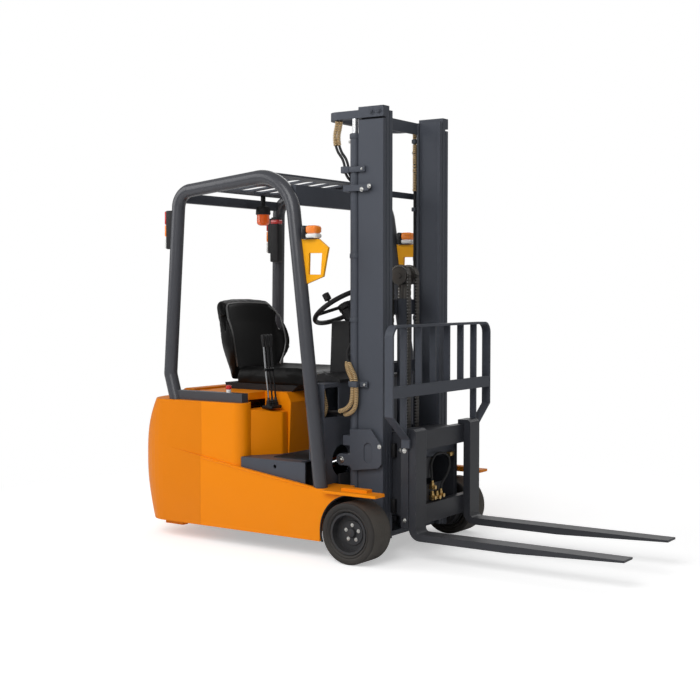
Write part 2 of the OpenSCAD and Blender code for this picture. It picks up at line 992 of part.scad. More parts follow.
// Beacon that hangs on a stem under the roof plate
module beacon() {
    top = guard_points[2].y + (beacon_x - beacon_stem_r - guard_points[2].x) * tan(roof_slope) + roof_low;
    color([0.85, 0.3, 0.05])
        from_axle()
            translate([beacon_x, beacon_y, beacon_z]) {
                cylinder(r = 37, h = 64);
                translate([0, 0, 63])
                    cylinder(r = 43, h = 50);
                translate([0, 0, 112])
                    cylinder(r = beacon_stem_r, h = top - seat_fit - beacon_z - 112);
            }
}

// Hood and seat

hood_front = -572;
hood_step = -745;
hood_rear = hinge_x + 8;

// Side outline of the hood, drawn smaller by inset
module hood_outline(inset) {
    step = hood_step - (inset > 0 ? 1 : 0);
    polygon([
        [hood_rear + inset, deck_z + 7 - inset * 3], [hood_rear + inset, hood_z - inset],
        [-600, hood_z - inset],
        [hood_front - inset, hood_z - 50], [hood_front - 12 - inset, floor_z + seat_fit - inset * 3],
        [step, floor_z + seat_fit - inset * 3], [step, deck_z + 7 - inset * 3]
    ]);
}

module hood() {
    lid_half = hood_w / 2;
    front_half = pedestal_w / 2;
    color(orange)
        from_axle() {
            difference() {
                intersection() {
                    upright(-lid_half, lid_half)
                        hood_outline(0);
                    linear_extrude(1000)
                        union() {
                            round_rect([hood_rear - 1, -lid_half], [hood_step, lid_half], 30);
                            square_between([hood_step - 60, -front_half], [hood_front + 1, front_half]);
                        }
                }
                intersection() {
                    upright(-lid_half + hood_t, lid_half - hood_t)
                        hood_outline(hood_t);
                    linear_extrude(1000)
                        union() {
                            square_between([hood_rear, -lid_half + hood_t],
                                [hood_step - hood_t, lid_half - hood_t]);
                            square_between([hood_step - 60, -front_half + hood_t],
                                [hood_front, front_half - hood_t]);
                        }
                }
                both_sides()
                    block([hinge_x - 24, hinge_y - 9, 700], [hinge_x + 24, hinge_y + hinge_lug + 6, 900]);
            }
            both_sides()
                pin_y(hinge_x, hinge_z, hinge_r, hinge_y - 20, hinge_y + hinge_lug + 2);
            both_sides()
                upright(hinge_y - 20, hinge_y - 8)
                    union() {
                        translate([hinge_x, hinge_z])
                            circle(hinge_r + 3);
                        square_between([hinge_x, hinge_z - hinge_r], [hinge_x + 40, hinge_z + hinge_r]);
                    }
        }
}

module seat_base() {
    color(black)
        from_axle()
            upright(-seat_w / 2 + 30, seat_w / 2 - 30)
                polygon([
                    [-1050, hood_z + seat_fit], [-600, hood_z + seat_fit], [-560, hood_z + 34],
                    [-1060, hood_z + 34]
                ]);
}

cushion_z = hood_z + 34 + seat_fit;
cushion_rear = -975;

module seat_cushion() {
    color(black)
        from_axle()
            translate([0, 0, cushion_z])
                linear_extrude(100)
                    round_rect([cushion_rear, -seat_w / 2], [cushion_rear + seat_len, seat_w / 2], 50);
}

module seat_back() {
    color(black)
        from_axle()
            upright(-seat_w / 2 - 35, seat_w / 2 + 35)
                polygon(concat(
                    [[-1056, cushion_z], [cushion_rear - 1, cushion_z]],
                    [[cushion_rear - 1, cushion_z + 120]],
                    arc([-1110, seat_top_z - 40], 40, 10, 170, 6),
                    [[-1150, seat_top_z - 120]]
                ));
}

// Mast

// One rail pair of a stage, drawn as channels open towards the middle
module rail_pair(stage, back) {
    y1 = half_mast - stage * (rail_w + rail_gap);
    both_sides()
        translate([0, 0, stage_foot[stage]])
            linear_extrude(stage_top[stage] - stage_foot[stage])
                difference() {
                    square_between([back, y1 - rail_w], [rail_front, y1]);
                    square_between([rail_back + rail_flange, y1 - rail_w - 1],
                        [rail_front - rail_flange, y1 - rail_web]);
                }
}

rail_mid = (rail_front + rail_back) / 2;

// Guide rollers on stub shafts that run in the next rail outwards
module guide_rollers(stage, heights) {
    y1 = half_mast - stage * (rail_w + rail_gap);
    both_sides()
        for (z = heights) {
            pin_y(rail_mid, z, roller_r, y1 + rail_gap + 2, y1 + rail_gap + 2 + roller_w);
            pin_y(rail_mid, z, 18, y1 - rail_web, y1 + rail_gap + 3);
        }
}

tie_z = mast_h - 415;
tie_h = 31;
low_tie_z = 550;
low_tie_h = 50;
foot_z = stage_foot[0] + 10;
bracket_y = lift_y + lift_barrel_d / 2 + 2;

// Outer stage: rails, ties behind the lift cylinders, tilt brackets and pivot pins
module outer_mast() {
    color(charcoal)
        from_axle() {
            rail_pair(0, rail_back);
            block([tie_back - tie_t, -bracket_y - tie_t, low_tie_z],
                [tie_back, bracket_y + tie_t, low_tie_z + low_tie_h]);
            block([tie_back - tie_t, -bracket_y - tie_t, tie_z],
                [tie_back, bracket_y + tie_t, tie_z + tie_h]);
            both_sides() {
                block([tie_back - 1, bracket_y, tie_z], [rail_mid, bracket_y + tie_t, tie_z + tie_h]);
                block([rail_back + 10, half_mast - 1, tie_z], [rail_mid, bracket_y + 1, tie_z + tie_h]);
            }
            block([tie_back - tie_t, -half_mast, foot_z], [tie_back + tie_t, half_mast, foot_z + 20]);
            both_sides() {
                pin_y(pivot_x, pivot_z, pivot_r, half_mast - 2, chassis_out_y);
                tilt_bracket();
                block([tie_back, lift_y - lift_barrel_d / 2, foot_z],
                    [rail_back - 5, half_mast, foot_z + 20]);
                block([rail_back - 6, half_mast - rail_w, foot_z], [rail_back + 1, half_mast, foot_z + 20]);
            }
        }
}

// Tilt bracket: plate outside the lift cylinder with a pocket and the ear of the rod's pin
module tilt_bracket() {
    y0 = bracket_y;
    y1 = bracket_y + tie_t;
    low = tilt_pin_z - 51;
    high = tilt_pin_z + 162;
    upright(half_mast - 1, y0 + 1)
        round_rect([rail_back + 8, low + 14], [rail_front - 20, high - 40], 20);
    difference() {
        upright(y0, y1)
            union() {
                polygon([
                    [rail_back - 36, low + 16], [rail_back - 20, low], [rail_front - 14, low + 22],
                    [rail_front + 6, low + 44], [rail_front + 6, high - 78], [rail_mid + 16, high],
                    [rail_back - 36, high - 7]
                ]);
                translate([tilt_pin_x, tilt_pin_z])
                    circle(2 * tilt_pin_r);
                square_between([tilt_pin_x, tilt_pin_z - 29], [rail_back, tilt_pin_z + 29]);
                square_between([tie_back - tie_t, low_tie_z], [rail_back, low_tie_z + low_tie_h]);
            }
        upright(y1 - 6, y1 + 1)
            round_rect([rail_mid - 25, low + 44], [rail_mid + 25, low + 144], 24);
    }
    pin_y(tilt_pin_x, tilt_pin_z, tilt_pin_r, tilt_y - 22, y0 + 1);
}

lift_bore_foot = 480;

// Side lift cylinders with their glands
module lift_barrels() {
    color(charcoal)
        from_axle()
            both_sides()
                translate([lift_x, lift_y, 0])
                    difference() {
                        translate([0, 0, foot_z + 20 + seat_fit])
                            cylinder(r = lift_barrel_d / 2, h = lift_barrel_top - foot_z - 20 - seat_fit);
                        translate([0, 0, lift_bore_foot])
                            cylinder(r = lift_rod_d / 2 + seat_fit, h = lift_barrel_top);
                    }
}

// Middle stage: rails, rollers, ties, head plates and the bowed top tie
module middle_mast() {
    y1 = half_mast - rail_w - rail_gap;
    color(charcoal)
        from_axle() {
            rail_pair(1, rail_back);
            guide_rollers(1, [stage_foot[1] + 70, stage_foot[1] + 420]);
            for (z = [stage_foot[1] + 45, 1200])
                block([rail_back - 23, -y1 + rail_w - 9, z], [rail_back - 11, y1 - rail_w + 9, z + 80]);
            both_sides()
                for (z = [stage_foot[1] + 45, 1200])
                    block([rail_back - 12, y1 - rail_w + 0.5, z], [rail_back + 1, y1 - rail_w + 9, z + 80]);
            both_sides()
                block([rail_back, y1 - rail_w, head_z], [rail_front, half_mast, mast_h]);
            top_tie();
        }
}

// Bar bent to the rear around the hoses, from one head plate to the other
module top_tie() {
    y1 = half_mast - 1;
    y0 = lift_y - 22;
    translate([0, 0, head_z])
        linear_extrude(40)
            difference() {
                round_rect([bow_x, -y1], [rail_back + 200, y1], 70);
                round_rect([bow_x + 34, -y0], [rail_back + 260, y0], 40);
                square_between([rail_back + 1, -y1 - 1], [rail_back + 300, y1 + 1]);
            }
}

module lift_rods() {
    color(steel)
        from_axle()
            both_sides()
                translate([lift_x, lift_y, lift_bore_foot + 20])
                    cylinder(r = lift_rod_d / 2, h = head_z - lift_bore_foot - 20);
}

// Inner stage: rails, rollers, ties and the foot of the free-lift cylinder
module inner_mast() {
    y1 = half_mast - 2 * (rail_w + rail_gap);
    color(charcoal)
        from_axle() {
            rail_pair(2, inner_back);
            guide_rollers(2, [stage_foot[2] + 70, stage_foot[2] + 420]);
            for (z = [stage_foot[2], 900, stage_top[2] - 60])
                block([inner_back - tie_t, -y1 + 2, z], [inner_back + 1, y1 - 2, z + 60]);
            block([inner_back, -y1 + rail_w - 2, stage_foot[2]], [20, y1 - rail_w + 2, stage_foot[2] + 25]);
        }
}

free_foot = stage_foot[2] + 25;
free_top = sheave_z - 116;
chain_y = 40;
free_bore_foot = 380;
free_rod_foot = 440;

module free_barrel() {
    color(charcoal)
        from_axle()
            difference() {
                union() {
                    translate([free_x, 0, free_foot])
                        cylinder(r = free_barrel_d / 2, h = free_top - free_foot);
                    block([inner_back + 1, -30, 905], [free_x, 30, 955]);
                }
                translate([free_x, 0, free_bore_foot])
                    cylinder(r = free_rod_d / 2 + seat_fit, h = free_top);
            }
}

// Free-lift rod with the crosshead and its chain sheaves
module free_head() {
    color(steel)
        from_axle()
            translate([free_x, 0, 0]) {
                translate([0, 0, free_rod_foot])
                    cylinder(r = free_rod_d / 2, h = sheave_z - free_rod_foot - 20);
                block([-25, -20, sheave_z - 60], [25, 20, sheave_z + 25]);
                pin_y(0, sheave_z, 14, -chain_y - 22, chain_y + 22);
                for (y = [-chain_y, chain_y])
                    pin_y(0, sheave_z, sheave_d / 2, y - 17, y + 17);
            }
}

chain_t = 12;
chain_w = 28;
chain_anchor_z = 575;

// Leaf chains over the sheaves, from the carriage to the barrel's collar
module lift_chains() {
    r0 = sheave_d / 2 + seat_fit;
    color([0.3, 0.28, 0.25])
        from_axle()
            for (y = [-chain_y, chain_y])
                translate([free_x, 0, 0]) {
                    block([r0, y - chain_w / 2, chain_anchor_z + 45.3],
                        [r0 + chain_t, y + chain_w / 2, sheave_z]);
                    block([-r0 - chain_t, y - chain_w / 2, 960], [-r0, y + chain_w / 2, sheave_z]);
                    translate([0, y + chain_w / 2, sheave_z])
                        rotate([90, 0, 0])
                            rotate_extrude(angle = 180)
                                translate([r0, 0])
                                    square([chain_t, chain_w]);
                }
}

// Carriage, backrest and forks

module carriage() {
    y1 = side_plate_y;
    half_w = carriage_w / 2;
    color(charcoal)
        from_axle() {
            for (z = [low_bar_z, carriage_top - bar_h])
                block([carriage_back, -half_w, z], [carriage_front, half_w, z + bar_h]);
            both_sides() {
                block([carriage_back, half_w - 16, low_bar_z + 1],
                    [carriage_front, half_w, carriage_top - 30]);
                upright(y1 - side_plate_t, y1)
                    polygon([
                        [rail_mid - 30, carriage_low], [rail_front, carriage_low],
                        [carriage_back + 1, low_bar_z + 10],
                        [carriage_back + 1, carriage_top - 10], [rail_front, carriage_top - 20],
                        [rail_mid - 30, carriage_top - 40]
                    ]);
                for (z = [carriage_low + 60, carriage_top - 100]) {
                    pin_y(rail_mid, z, roller_r, y1 + 7, y1 + 7 + roller_w);
                    pin_y(rail_mid, z, 18, y1 - 1, y1 + 8);
                }
            }
            block([free_x + sheave_d / 2 - 1, -y1 + 5, chain_anchor_z - 15],
                [carriage_back + 1, y1 - 5, chain_anchor_z + 45]);
        }
}

// Backrest: inner bars, corner radius, crossbar and splayed legs
bar_pitch = 140;
bar_depth = 34;
backrest_r = 60;
cross_z = 811;
cross_h = 58;
backrest_front = 216;
leg_z = 722;
leg_foot_z = carriage_top - 29;
tab_z = carriage_top - 70;

// Outline of the backrest's bent strip, drawn smaller by inset
module backrest_outline(inset) {
    half_w = backrest_w / 2 - inset;
    top = backrest_z - inset;
    r = backrest_r - inset;
    foot_y = carriage_w / 2 + seat_fit + backrest_t - inset;
    low = tab_z - (inset > 0 ? 1 : 0);
    polygon(concat(
        [[-foot_y, low], [-foot_y, leg_foot_z], [-half_w, leg_z]],
        arc([-half_w + r, top - r], r, 180, 90),
        arc([half_w - r, top - r], r, 90, 0),
        [[half_w, leg_z], [foot_y, leg_foot_z], [foot_y, low]]
    ));
}

// Load backrest: bent strip bolted to the carriage's ends, with six uprights and a crossbar
module backrest() {
    half_w = backrest_w / 2;
    cross_back = backrest_front - backrest_t;
    bar_back = cross_back + 1 - bar_depth;
    color(charcoal)
        from_axle() {
            translate([backrest_front, 0, 0])
                rotate([90, 0, -90])
                    linear_extrude(backrest_d)
                        difference() {
                            backrest_outline(0);
                            backrest_outline(backrest_t);
                        }
            block([cross_back, 1 - half_w, cross_z], [backrest_front - 1, half_w - 1, cross_z + cross_h]);
            for (i = [-2.5 : 2.5])
                block([bar_back, i * bar_pitch - backrest_t / 2, abs(i) > 2 ? leg_foot_z + 17 : cross_z + 4],
                    [cross_back + 1, i * bar_pitch + backrest_t / 2, backrest_z - backrest_t / 2]);
        }
}

// One fork: shank with its hooks over the carriage bars, and the tapering blade
module fork(side) {
    y = side * fork_pitch / 2;
    tip = fork_face + fork_len;
    color(black)
        from_axle()
            upright(y - fork_w / 2, y + fork_w / 2)
                polygon(concat(
                    [[carriage_front + seat_fit, carriage_top + 22], [carriage_back + 8, carriage_top + 22]],
                    [[carriage_back + 8, carriage_top + seat_fit],
                    [carriage_front + seat_fit, carriage_top + seat_fit]],
                    arc([carriage_front + 60, fork_z - fork_t + 60], 60, 180, 270, 6),
                    [[fork_face + 500, fork_z - fork_t], [tip, fork_z - fork_tip_t], [tip, fork_z]],
                    arc([fork_face + 20, fork_z + 20], 20, 270, 180, 4),
                    [[fork_face, carriage_top + 10], [fork_face - 14, carriage_top + 22]]
                ));
}

module fork_right() {
    fork(-1);
}

module fork_left() {
    fork(1);
}

// Tilt cylinders

barrel_len = tilt_len - 130;

module tilt_place(side) {
    from_axle()
        sided(side)
            translate([tilt_base_x, tilt_y, tilt_base_z])
                rotate([0, -tilt_angle, 0])
                    children();
}

module tilt_barrel(side) {
    color(charcoal)
        tilt_place(side)
            difference() {
                union() {
                    rotate([0, 90, 0])
                        translate([0, 0, 20])
                            cylinder(r = tilt_barrel_r, h = barrel_len - 20);
                    pin_y(0, 0, tilt_barrel_r, -20, 20);
                }
                pin_y(0, 0, tilt_pin_r + pin_fit, -40, 40);
                rotate([0, 90, 0])
                    translate([0, 0, 60])
                        cylinder(r = tilt_rod_r + seat_fit, h = barrel_len);
            }
}

module tilt_rod(side) {
    color(steel)
        tilt_place(side)
            difference() {
                union() {
                    rotate([0, 90, 0])
                        translate([0, 0, 110])
                            cylinder(r = tilt_rod_r, h = tilt_len - 110);
                    pin_y(tilt_len, 0, 30, -18, 18);
                }
                pin_y(tilt_len, 0, tilt_pin_r + 3, -30, 30);
            }
}

module tilt_barrel_right() {
    tilt_barrel(-1);
}

module tilt_barrel_left() {
    tilt_barrel(1);
}

module tilt_rod_right() {
    tilt_rod(-1);
}

module tilt_rod_left() {
    tilt_rod(1);
}

chassis_frame();
floor_plate();
cowl();
side_panel_right();
side_panel_left();
counterweight();
battery();
drive_units();
steering_column();
pedals();
lever_set();
guard_right();
guard_left();
guard_roof();
lamp_brackets();
front_lamps();
tail_lamps();
beacon();
hood();
seat_base();
seat_cushion();
seat_back();
tyre_right();
rim_right();
tyre_left();
rim_left();
steer_yoke();
rear_tyres();
rear_rims();
steering_wheel();
outer_mast();
lift_barrels();
middle_mast();
lift_rods();
inner_mast();
free_barrel();
free_head();
lift_chains();
carriage();
backrest();
fork_right();
fork_left();
tilt_barrel_right();
tilt_barrel_left();
tilt_rod_right();
tilt_rod_left();
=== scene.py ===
"""Looks of a compact three-wheel electric forklift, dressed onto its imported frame."""

import functools
import logging
import math
from dataclasses import dataclass, field
from enum import Enum
from typing import Any, Callable, Iterable, Optional, Sequence, Union

import bmesh
import bpy
from mathutils import Matrix, Vector


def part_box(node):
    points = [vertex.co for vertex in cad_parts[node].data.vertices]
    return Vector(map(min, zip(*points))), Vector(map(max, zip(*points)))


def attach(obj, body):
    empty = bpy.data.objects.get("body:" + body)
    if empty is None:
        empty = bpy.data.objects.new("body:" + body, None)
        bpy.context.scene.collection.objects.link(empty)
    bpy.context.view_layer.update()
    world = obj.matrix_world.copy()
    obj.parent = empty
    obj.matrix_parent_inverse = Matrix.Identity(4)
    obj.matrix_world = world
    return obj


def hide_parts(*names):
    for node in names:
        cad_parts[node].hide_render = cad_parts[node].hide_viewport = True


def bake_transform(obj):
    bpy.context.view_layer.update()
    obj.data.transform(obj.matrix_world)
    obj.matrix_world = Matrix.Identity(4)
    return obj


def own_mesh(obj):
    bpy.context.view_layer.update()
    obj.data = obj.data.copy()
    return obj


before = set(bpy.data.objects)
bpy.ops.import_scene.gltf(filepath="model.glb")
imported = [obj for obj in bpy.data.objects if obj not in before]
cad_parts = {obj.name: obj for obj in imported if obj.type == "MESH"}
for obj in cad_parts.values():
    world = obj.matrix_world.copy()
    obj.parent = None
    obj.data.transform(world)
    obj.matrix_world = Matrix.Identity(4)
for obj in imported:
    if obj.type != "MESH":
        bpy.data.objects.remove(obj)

LOG = logging.getLogger("forklift")
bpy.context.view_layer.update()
AXLE_X = 0.0825
SIDES = (-1, 1)
UP = Vector((0, 0, 1))
AHEAD = Vector((1, 0, 0))
Profile = Sequence[tuple[float, float]]
Color = tuple[float, float, float]
Skin = Callable[[float, float], Vector]
Link = tuple[bpy.types.Node, Union[int, str], bpy.types.Node, Union[int, str]]


def at(x: float, y: float, z: float) -> Vector:
    """Point of the row frame for millimetres counted from the front axle."""
    return Vector((x / 1000 + AXLE_X, y / 1000, z / 1000))


def route(*points: tuple[float, float, float]) -> list[Vector]:
    """Points of the row frame for several places in millimetres."""
    return [at(*point) for point in points]


def box_of(node: str) -> tuple[Vector, Vector]:
    """Lowest and highest corner of a solid of the frame."""
    low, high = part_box(node)
    return Vector(low), Vector(high)


def add_object(name: str, data: Any) -> bpy.types.Object:
    """Link a new object that carries the data."""
    obj = bpy.data.objects.new(name, data)
    bpy.context.collection.objects.link(obj)
    return obj


def to_object(name: str, mesh: bmesh.types.BMesh) -> bpy.types.Object:
    """Turn a loose mesh into a linked object.

    Args:
        name: Name of the object.
        mesh: The mesh, which is freed.

    Returns:
        The object.
    """
    data = bpy.data.meshes.new(name)
    mesh.to_mesh(data)
    mesh.free()
    return add_object(name, data)


def add_node(tree: bpy.types.NodeTree, kind: str, values: Optional[dict] = None,
             **settings: Any) -> bpy.types.Node:
    """Add a node to a tree.

    Args:
        tree: Tree that gets the node.
        kind: Type of the node.
        values: Values of its inputs, by name or number.
        settings: Its properties, by name.

    Returns:
        The node.
    """
    made = tree.nodes.new(kind)
    for name, value in settings.items():
        setattr(made, name, value)
    for key, value in (values or {}).items():
        made.inputs[key].default_value = value
    return made


def wire(tree: bpy.types.NodeTree, *links: Link) -> None:
    """Link nodes: source, its output, target and its input of each link."""
    for source, output, target, entry in links:
        tree.links.new(source.outputs[output], target.inputs[entry])


class Body(str, Enum):
    """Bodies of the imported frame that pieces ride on."""

    CHASSIS = "chassis"
    HOOD = "hood"
    WHEEL_RIGHT = "wheel_right"
    WHEEL_LEFT = "wheel_left"
    REAR_WHEELS = "rear_wheels"
    OUTER = "mast_outer"
    MIDDLE = "mast_middle"
    INNER = "mast_inner"
    FREE_LIFT = "free_lift"
    CARRIAGE = "carriage"


class Grain(Enum):
    """Kinds of fine surface relief."""

    PEEL = "paint peel"
    CAST = "cast skin"
    LEATHER = "leather grain"
    BRUSHED = "brushed metal"
    RUBBER = "moulded rubber"
    NONE = "smooth"


class NodeGroups:
    """Shader node groups shared by the finishes, each built once."""

    @staticmethod
    def start(name: str, inputs: Sequence[tuple], outputs: Sequence[tuple]) -> bpy.types.NodeTree:
        """Start an empty shader group.

        Args:
            name: Name of the group.
            inputs: Name, socket type and default of each input.
            outputs: Name and socket type of each output.

        Returns:
            The new tree with its input and output nodes named "in" and "out".
        """
        tree = bpy.data.node_groups.new(name, "ShaderNodeTree")
        for label, kind, default in inputs:
            socket = tree.interface.new_socket(label, in_out="INPUT", socket_type=kind)
            socket.default_value = default
        for label, kind in outputs:
            tree.interface.new_socket(label, in_out="OUTPUT", socket_type=kind)
        tree.nodes.new("NodeGroupInput").name = "in"
        tree.nodes.new("NodeGroupOutput").name = "out"
        return tree

    @staticmethod
    @functools.cache
    def edges() -> bpy.types.NodeTree:
        """Soft edge normals and a broken mask along the edges."""
        tree = NodeGroups.start(
            "edge wear",
            [("Radius", "NodeSocketFloat", 0.004), ("Amount", "NodeSocketFloat", 0.3),
             ("Scale", "NodeSocketFloat", 60.0)],
            [("Mask", "NodeSocketFloat"), ("Normal", "NodeSocketVector")],
        )
        given, result = tree.nodes["in"], tree.nodes["out"]
        bevel = add_node(tree, "ShaderNodeBevel", samples=4)
        plain = add_node(tree, "ShaderNodeNewGeometry")
        dot = add_node(tree, "ShaderNodeVectorMath", operation="DOT_PRODUCT")
        turn = add_node(tree, "ShaderNodeMapRange", {"From Min": 0.985, "From Max": 0.80})
        coords = add_node(tree, "ShaderNodeTexCoord")
        noise = add_node(tree, "ShaderNodeTexNoise", {"Detail": 5.0})
        broken = add_node(tree, "ShaderNodeMapRange", {"From Min": 0.52, "From Max": 0.68})
        both = add_node(tree, "ShaderNodeMath", operation="MULTIPLY")
        amount = add_node(tree, "ShaderNodeMath", operation="MULTIPLY")
        wire(
            tree, (given, "Radius", bevel, "Radius"), (bevel, "Normal", dot, 0),
            (plain, "True Normal", dot, 1), (dot, "Value", turn, "Value"),
            (coords, "Object", noise, "Vector"), (given, "Scale", noise, "Scale"),
            (noise, "Fac", broken, "Value"), (turn, "Result", both, 0), (broken, "Result", both, 1),
            (both, 0, amount, 0), (given, "Amount", amount, 1), (amount, 0, result, "Mask"),
            (bevel, "Normal", result, "Normal"),
        )
        return tree

    @staticmethod
    @functools.cache
    def mottle() -> bpy.types.NodeTree:
        """Slow changes of tone and gloss over a surface."""
        tree = NodeGroups.start(
            "mottle",
            [("Color", "NodeSocketColor", (0.5, 0.5, 0.5, 1.0)), ("Amount", "NodeSocketFloat", 0.06),
             ("Scale", "NodeSocketFloat", 4.0), ("Gloss", "NodeSocketFloat", 0.4)],
            [("Color", "NodeSocketColor"), ("Roughness", "NodeSocketFloat")],
        )
        given, result = tree.nodes["in"], tree.nodes["out"]
        coords = add_node(tree, "ShaderNodeTexCoord")
        noise = add_node(tree, "ShaderNodeTexNoise", {"Detail": 6.0, "Roughness": 0.62})
        shift = add_node(tree, "ShaderNodeMath", {1: 0.5}, operation="SUBTRACT")
        gain = add_node(tree, "ShaderNodeMath", {2: 1.0}, operation="MULTIPLY_ADD")
        tone = add_node(tree, "ShaderNodeHueSaturation")
        rough = add_node(tree, "ShaderNodeMath", {1: 0.22}, operation="MULTIPLY_ADD")
        wire(
            tree, (coords, "Object", noise, "Vector"), (given, "Scale", noise, "Scale"),
            (noise, "Fac", shift, 0), (shift, 0, gain, 0), (given, "Amount", gain, 1),
            (gain, 0, tone, "Value"), (given, "Color", tone, "Color"), (shift, 0, rough, 0),
            (given, "Gloss", rough, 2), (tone, "Color", result, "Color"), (rough, 0, result, "Roughness"),
        )
        return tree

    @staticmethod
    @functools.cache
    def dust() -> bpy.types.NodeTree:
        """Mask of fine dust on upper faces and low on the truck."""
        tree = NodeGroups.start(
            "dust", [("Amount", "NodeSocketFloat", 0.2), ("Reach", "NodeSocketFloat", 0.35)],
            [("Mask", "NodeSocketFloat")],
        )
        given, result = tree.nodes["in"], tree.nodes["out"]
        coords = add_node(tree, "ShaderNodeTexCoord")
        place = add_node(tree, "ShaderNodeSeparateXYZ")
        facing = add_node(tree, "ShaderNodeNewGeometry")
        up = add_node(tree, "ShaderNodeSeparateXYZ")
        low = add_node(tree, "ShaderNodeMapRange", {"From Max": 0.0})
        noise = add_node(tree, "ShaderNodeTexNoise", {"Scale": 9.0, "Detail": 7.0})
        flat = add_node(tree, "ShaderNodeMath", {1: 0.4}, operation="MULTIPLY_ADD", use_clamp=True)
        both = add_node(tree, "ShaderNodeMath", operation="MULTIPLY")
        amount = add_node(tree, "ShaderNodeMath", operation="MULTIPLY")
        wire(
            tree, (coords, "Object", place, 0), (coords, "Object", noise, "Vector"),
            (facing, "Normal", up, 0), (place, "Z", low, "Value"), (given, "Reach", low, "From Min"),
            (up, "Z", flat, 0),
            (low, "Result", flat, 2), (flat, 0, both, 0), (noise, "Fac", both, 1), (both, 0, amount, 0),
            (given, "Amount", amount, 1), (amount, 0, result, "Mask"),
        )
        return tree


@dataclass(frozen=True)
class Finish:
    """One surface finish: colour, gloss, relief, wear and dust."""

    name: str
    color: Color
    roughness: float = 0.4
    metallic: float = 0.0
    grain: Grain = Grain.NONE
    grain_scale: float = 900.0
    grain_depth: float = 0.0002
    mottle: float = 0.06
    soft_edge: float = 0.003
    wear: float = 0.0
    wear_color: Color = (0.42, 0.42, 0.43)
    dust: float = 0.0
    dust_reach: float = 0.35
    dust_color: Color = (0.33, 0.29, 0.24)
    coat: float = 0.0
    coat_roughness: float = 0.12
    specular: float = 0.5
    glow: float = 0.0

    def material(self) -> bpy.types.Material:
        """Make the material, or hand back the one already made."""
        known = bpy.data.materials.get("finish_" + self.name)
        if known:
            return known
        mat = bpy.data.materials.new("finish_" + self.name)
        mat.use_nodes = True
        mat.diffuse_color = (*self.color, 1.0)
        tree = mat.node_tree
        shader = tree.nodes["Principled BSDF"]
        values = {"Metallic": self.metallic, "Specular IOR Level": self.specular, "Coat Weight": self.coat,
                  "Coat Roughness": self.coat_roughness}
        if self.glow:
            values |= {"Emission Color": (*self.color, 1.0), "Emission Strength": self.glow}
        for label, value in values.items():
            shader.inputs[label].default_value = value
        tone = add_node(tree, "ShaderNodeGroup",
                        {"Color": (*self.color, 1.0), "Amount": self.mottle, "Gloss": self.roughness},
                        node_tree=NodeGroups.mottle())
        wire(tree, (tone, "Roughness", shader, "Roughness"))
        color, normal = tone.outputs["Color"], None
        if self.soft_edge:
            edge = add_node(tree, "ShaderNodeGroup", {"Radius": self.soft_edge, "Amount": self.wear},
                            node_tree=NodeGroups.edges())
            normal = edge.outputs["Normal"]
            if self.wear:
                color = self._mix(tree, color, self.wear_color, edge.outputs["Mask"])
        if self.dust:
            dust = add_node(tree, "ShaderNodeGroup", {"Amount": self.dust, "Reach": self.dust_reach},
                            node_tree=NodeGroups.dust())
            color = self._mix(tree, color, self.dust_color, dust.outputs["Mask"])
        tree.links.new(color, shader.inputs["Base Color"])
        height = self._relief(tree)
        if height is not None:
            bump = add_node(tree, "ShaderNodeBump", {"Strength": 1.0, "Distance": self.grain_depth})
            tree.links.new(height, bump.inputs["Height"])
            if normal is not None:
                tree.links.new(normal, bump.inputs["Normal"])
            normal = bump.outputs["Normal"]
        if normal is not None:
            tree.links.new(normal, shader.inputs["Normal"])
        return mat

    @staticmethod
    def _mix(tree: bpy.types.NodeTree, under: bpy.types.NodeSocket, over: Color,
             mask: bpy.types.NodeSocket) -> bpy.types.NodeSocket:
        """Lay a colour over another one by a mask.

        Args:
            tree: The material's tree.
            under: Colour below.
            over: Colour on top.
            mask: How much of the top colour shows.

        Returns:
            The mixed colour's socket.
        """
        mix = add_node(tree, "ShaderNodeMix", {7: (*over, 1.0)}, data_type="RGBA")
        tree.links.new(mask, mix.inputs[0])
        tree.links.new(under, mix.inputs[6])
        return mix.outputs[2]

    def _relief(self, tree: bpy.types.NodeTree) -> Optional[bpy.types.NodeSocket]:
        """Add the nodes of the fine relief.

        Args:
            tree: The material's tree.

        Returns:
            The height's socket, or None on a smooth finish.
        """
        if self.grain is Grain.NONE:
            return None
        coords = add_node(tree, "ShaderNodeTexCoord")
        if self.grain is Grain.LEATHER:
            cells = add_node(tree, "ShaderNodeTexVoronoi", {"Scale": self.grain_scale},
                             feature="DISTANCE_TO_EDGE")
            wire(tree, (coords, "Object", cells, "Vector"))
            return cells.outputs["Distance"]
        detail = 2.0 if self.grain is Grain.PEEL else 7.0
        noise = add_node(tree, "ShaderNodeTexNoise", {"Scale": self.grain_scale, "Detail": detail})
        if self.grain is Grain.BRUSHED:
            turn = add_node(tree, "ShaderNodeMapping", {"Scale": (1.0, 1.0, 0.02)})
            wire(tree, (coords, "Object", turn, "Vector"), (turn, "Vector", noise, "Vector"))
        else:
            wire(tree, (coords, "Object", noise, "Vector"))
        return noise.outputs["Fac"]


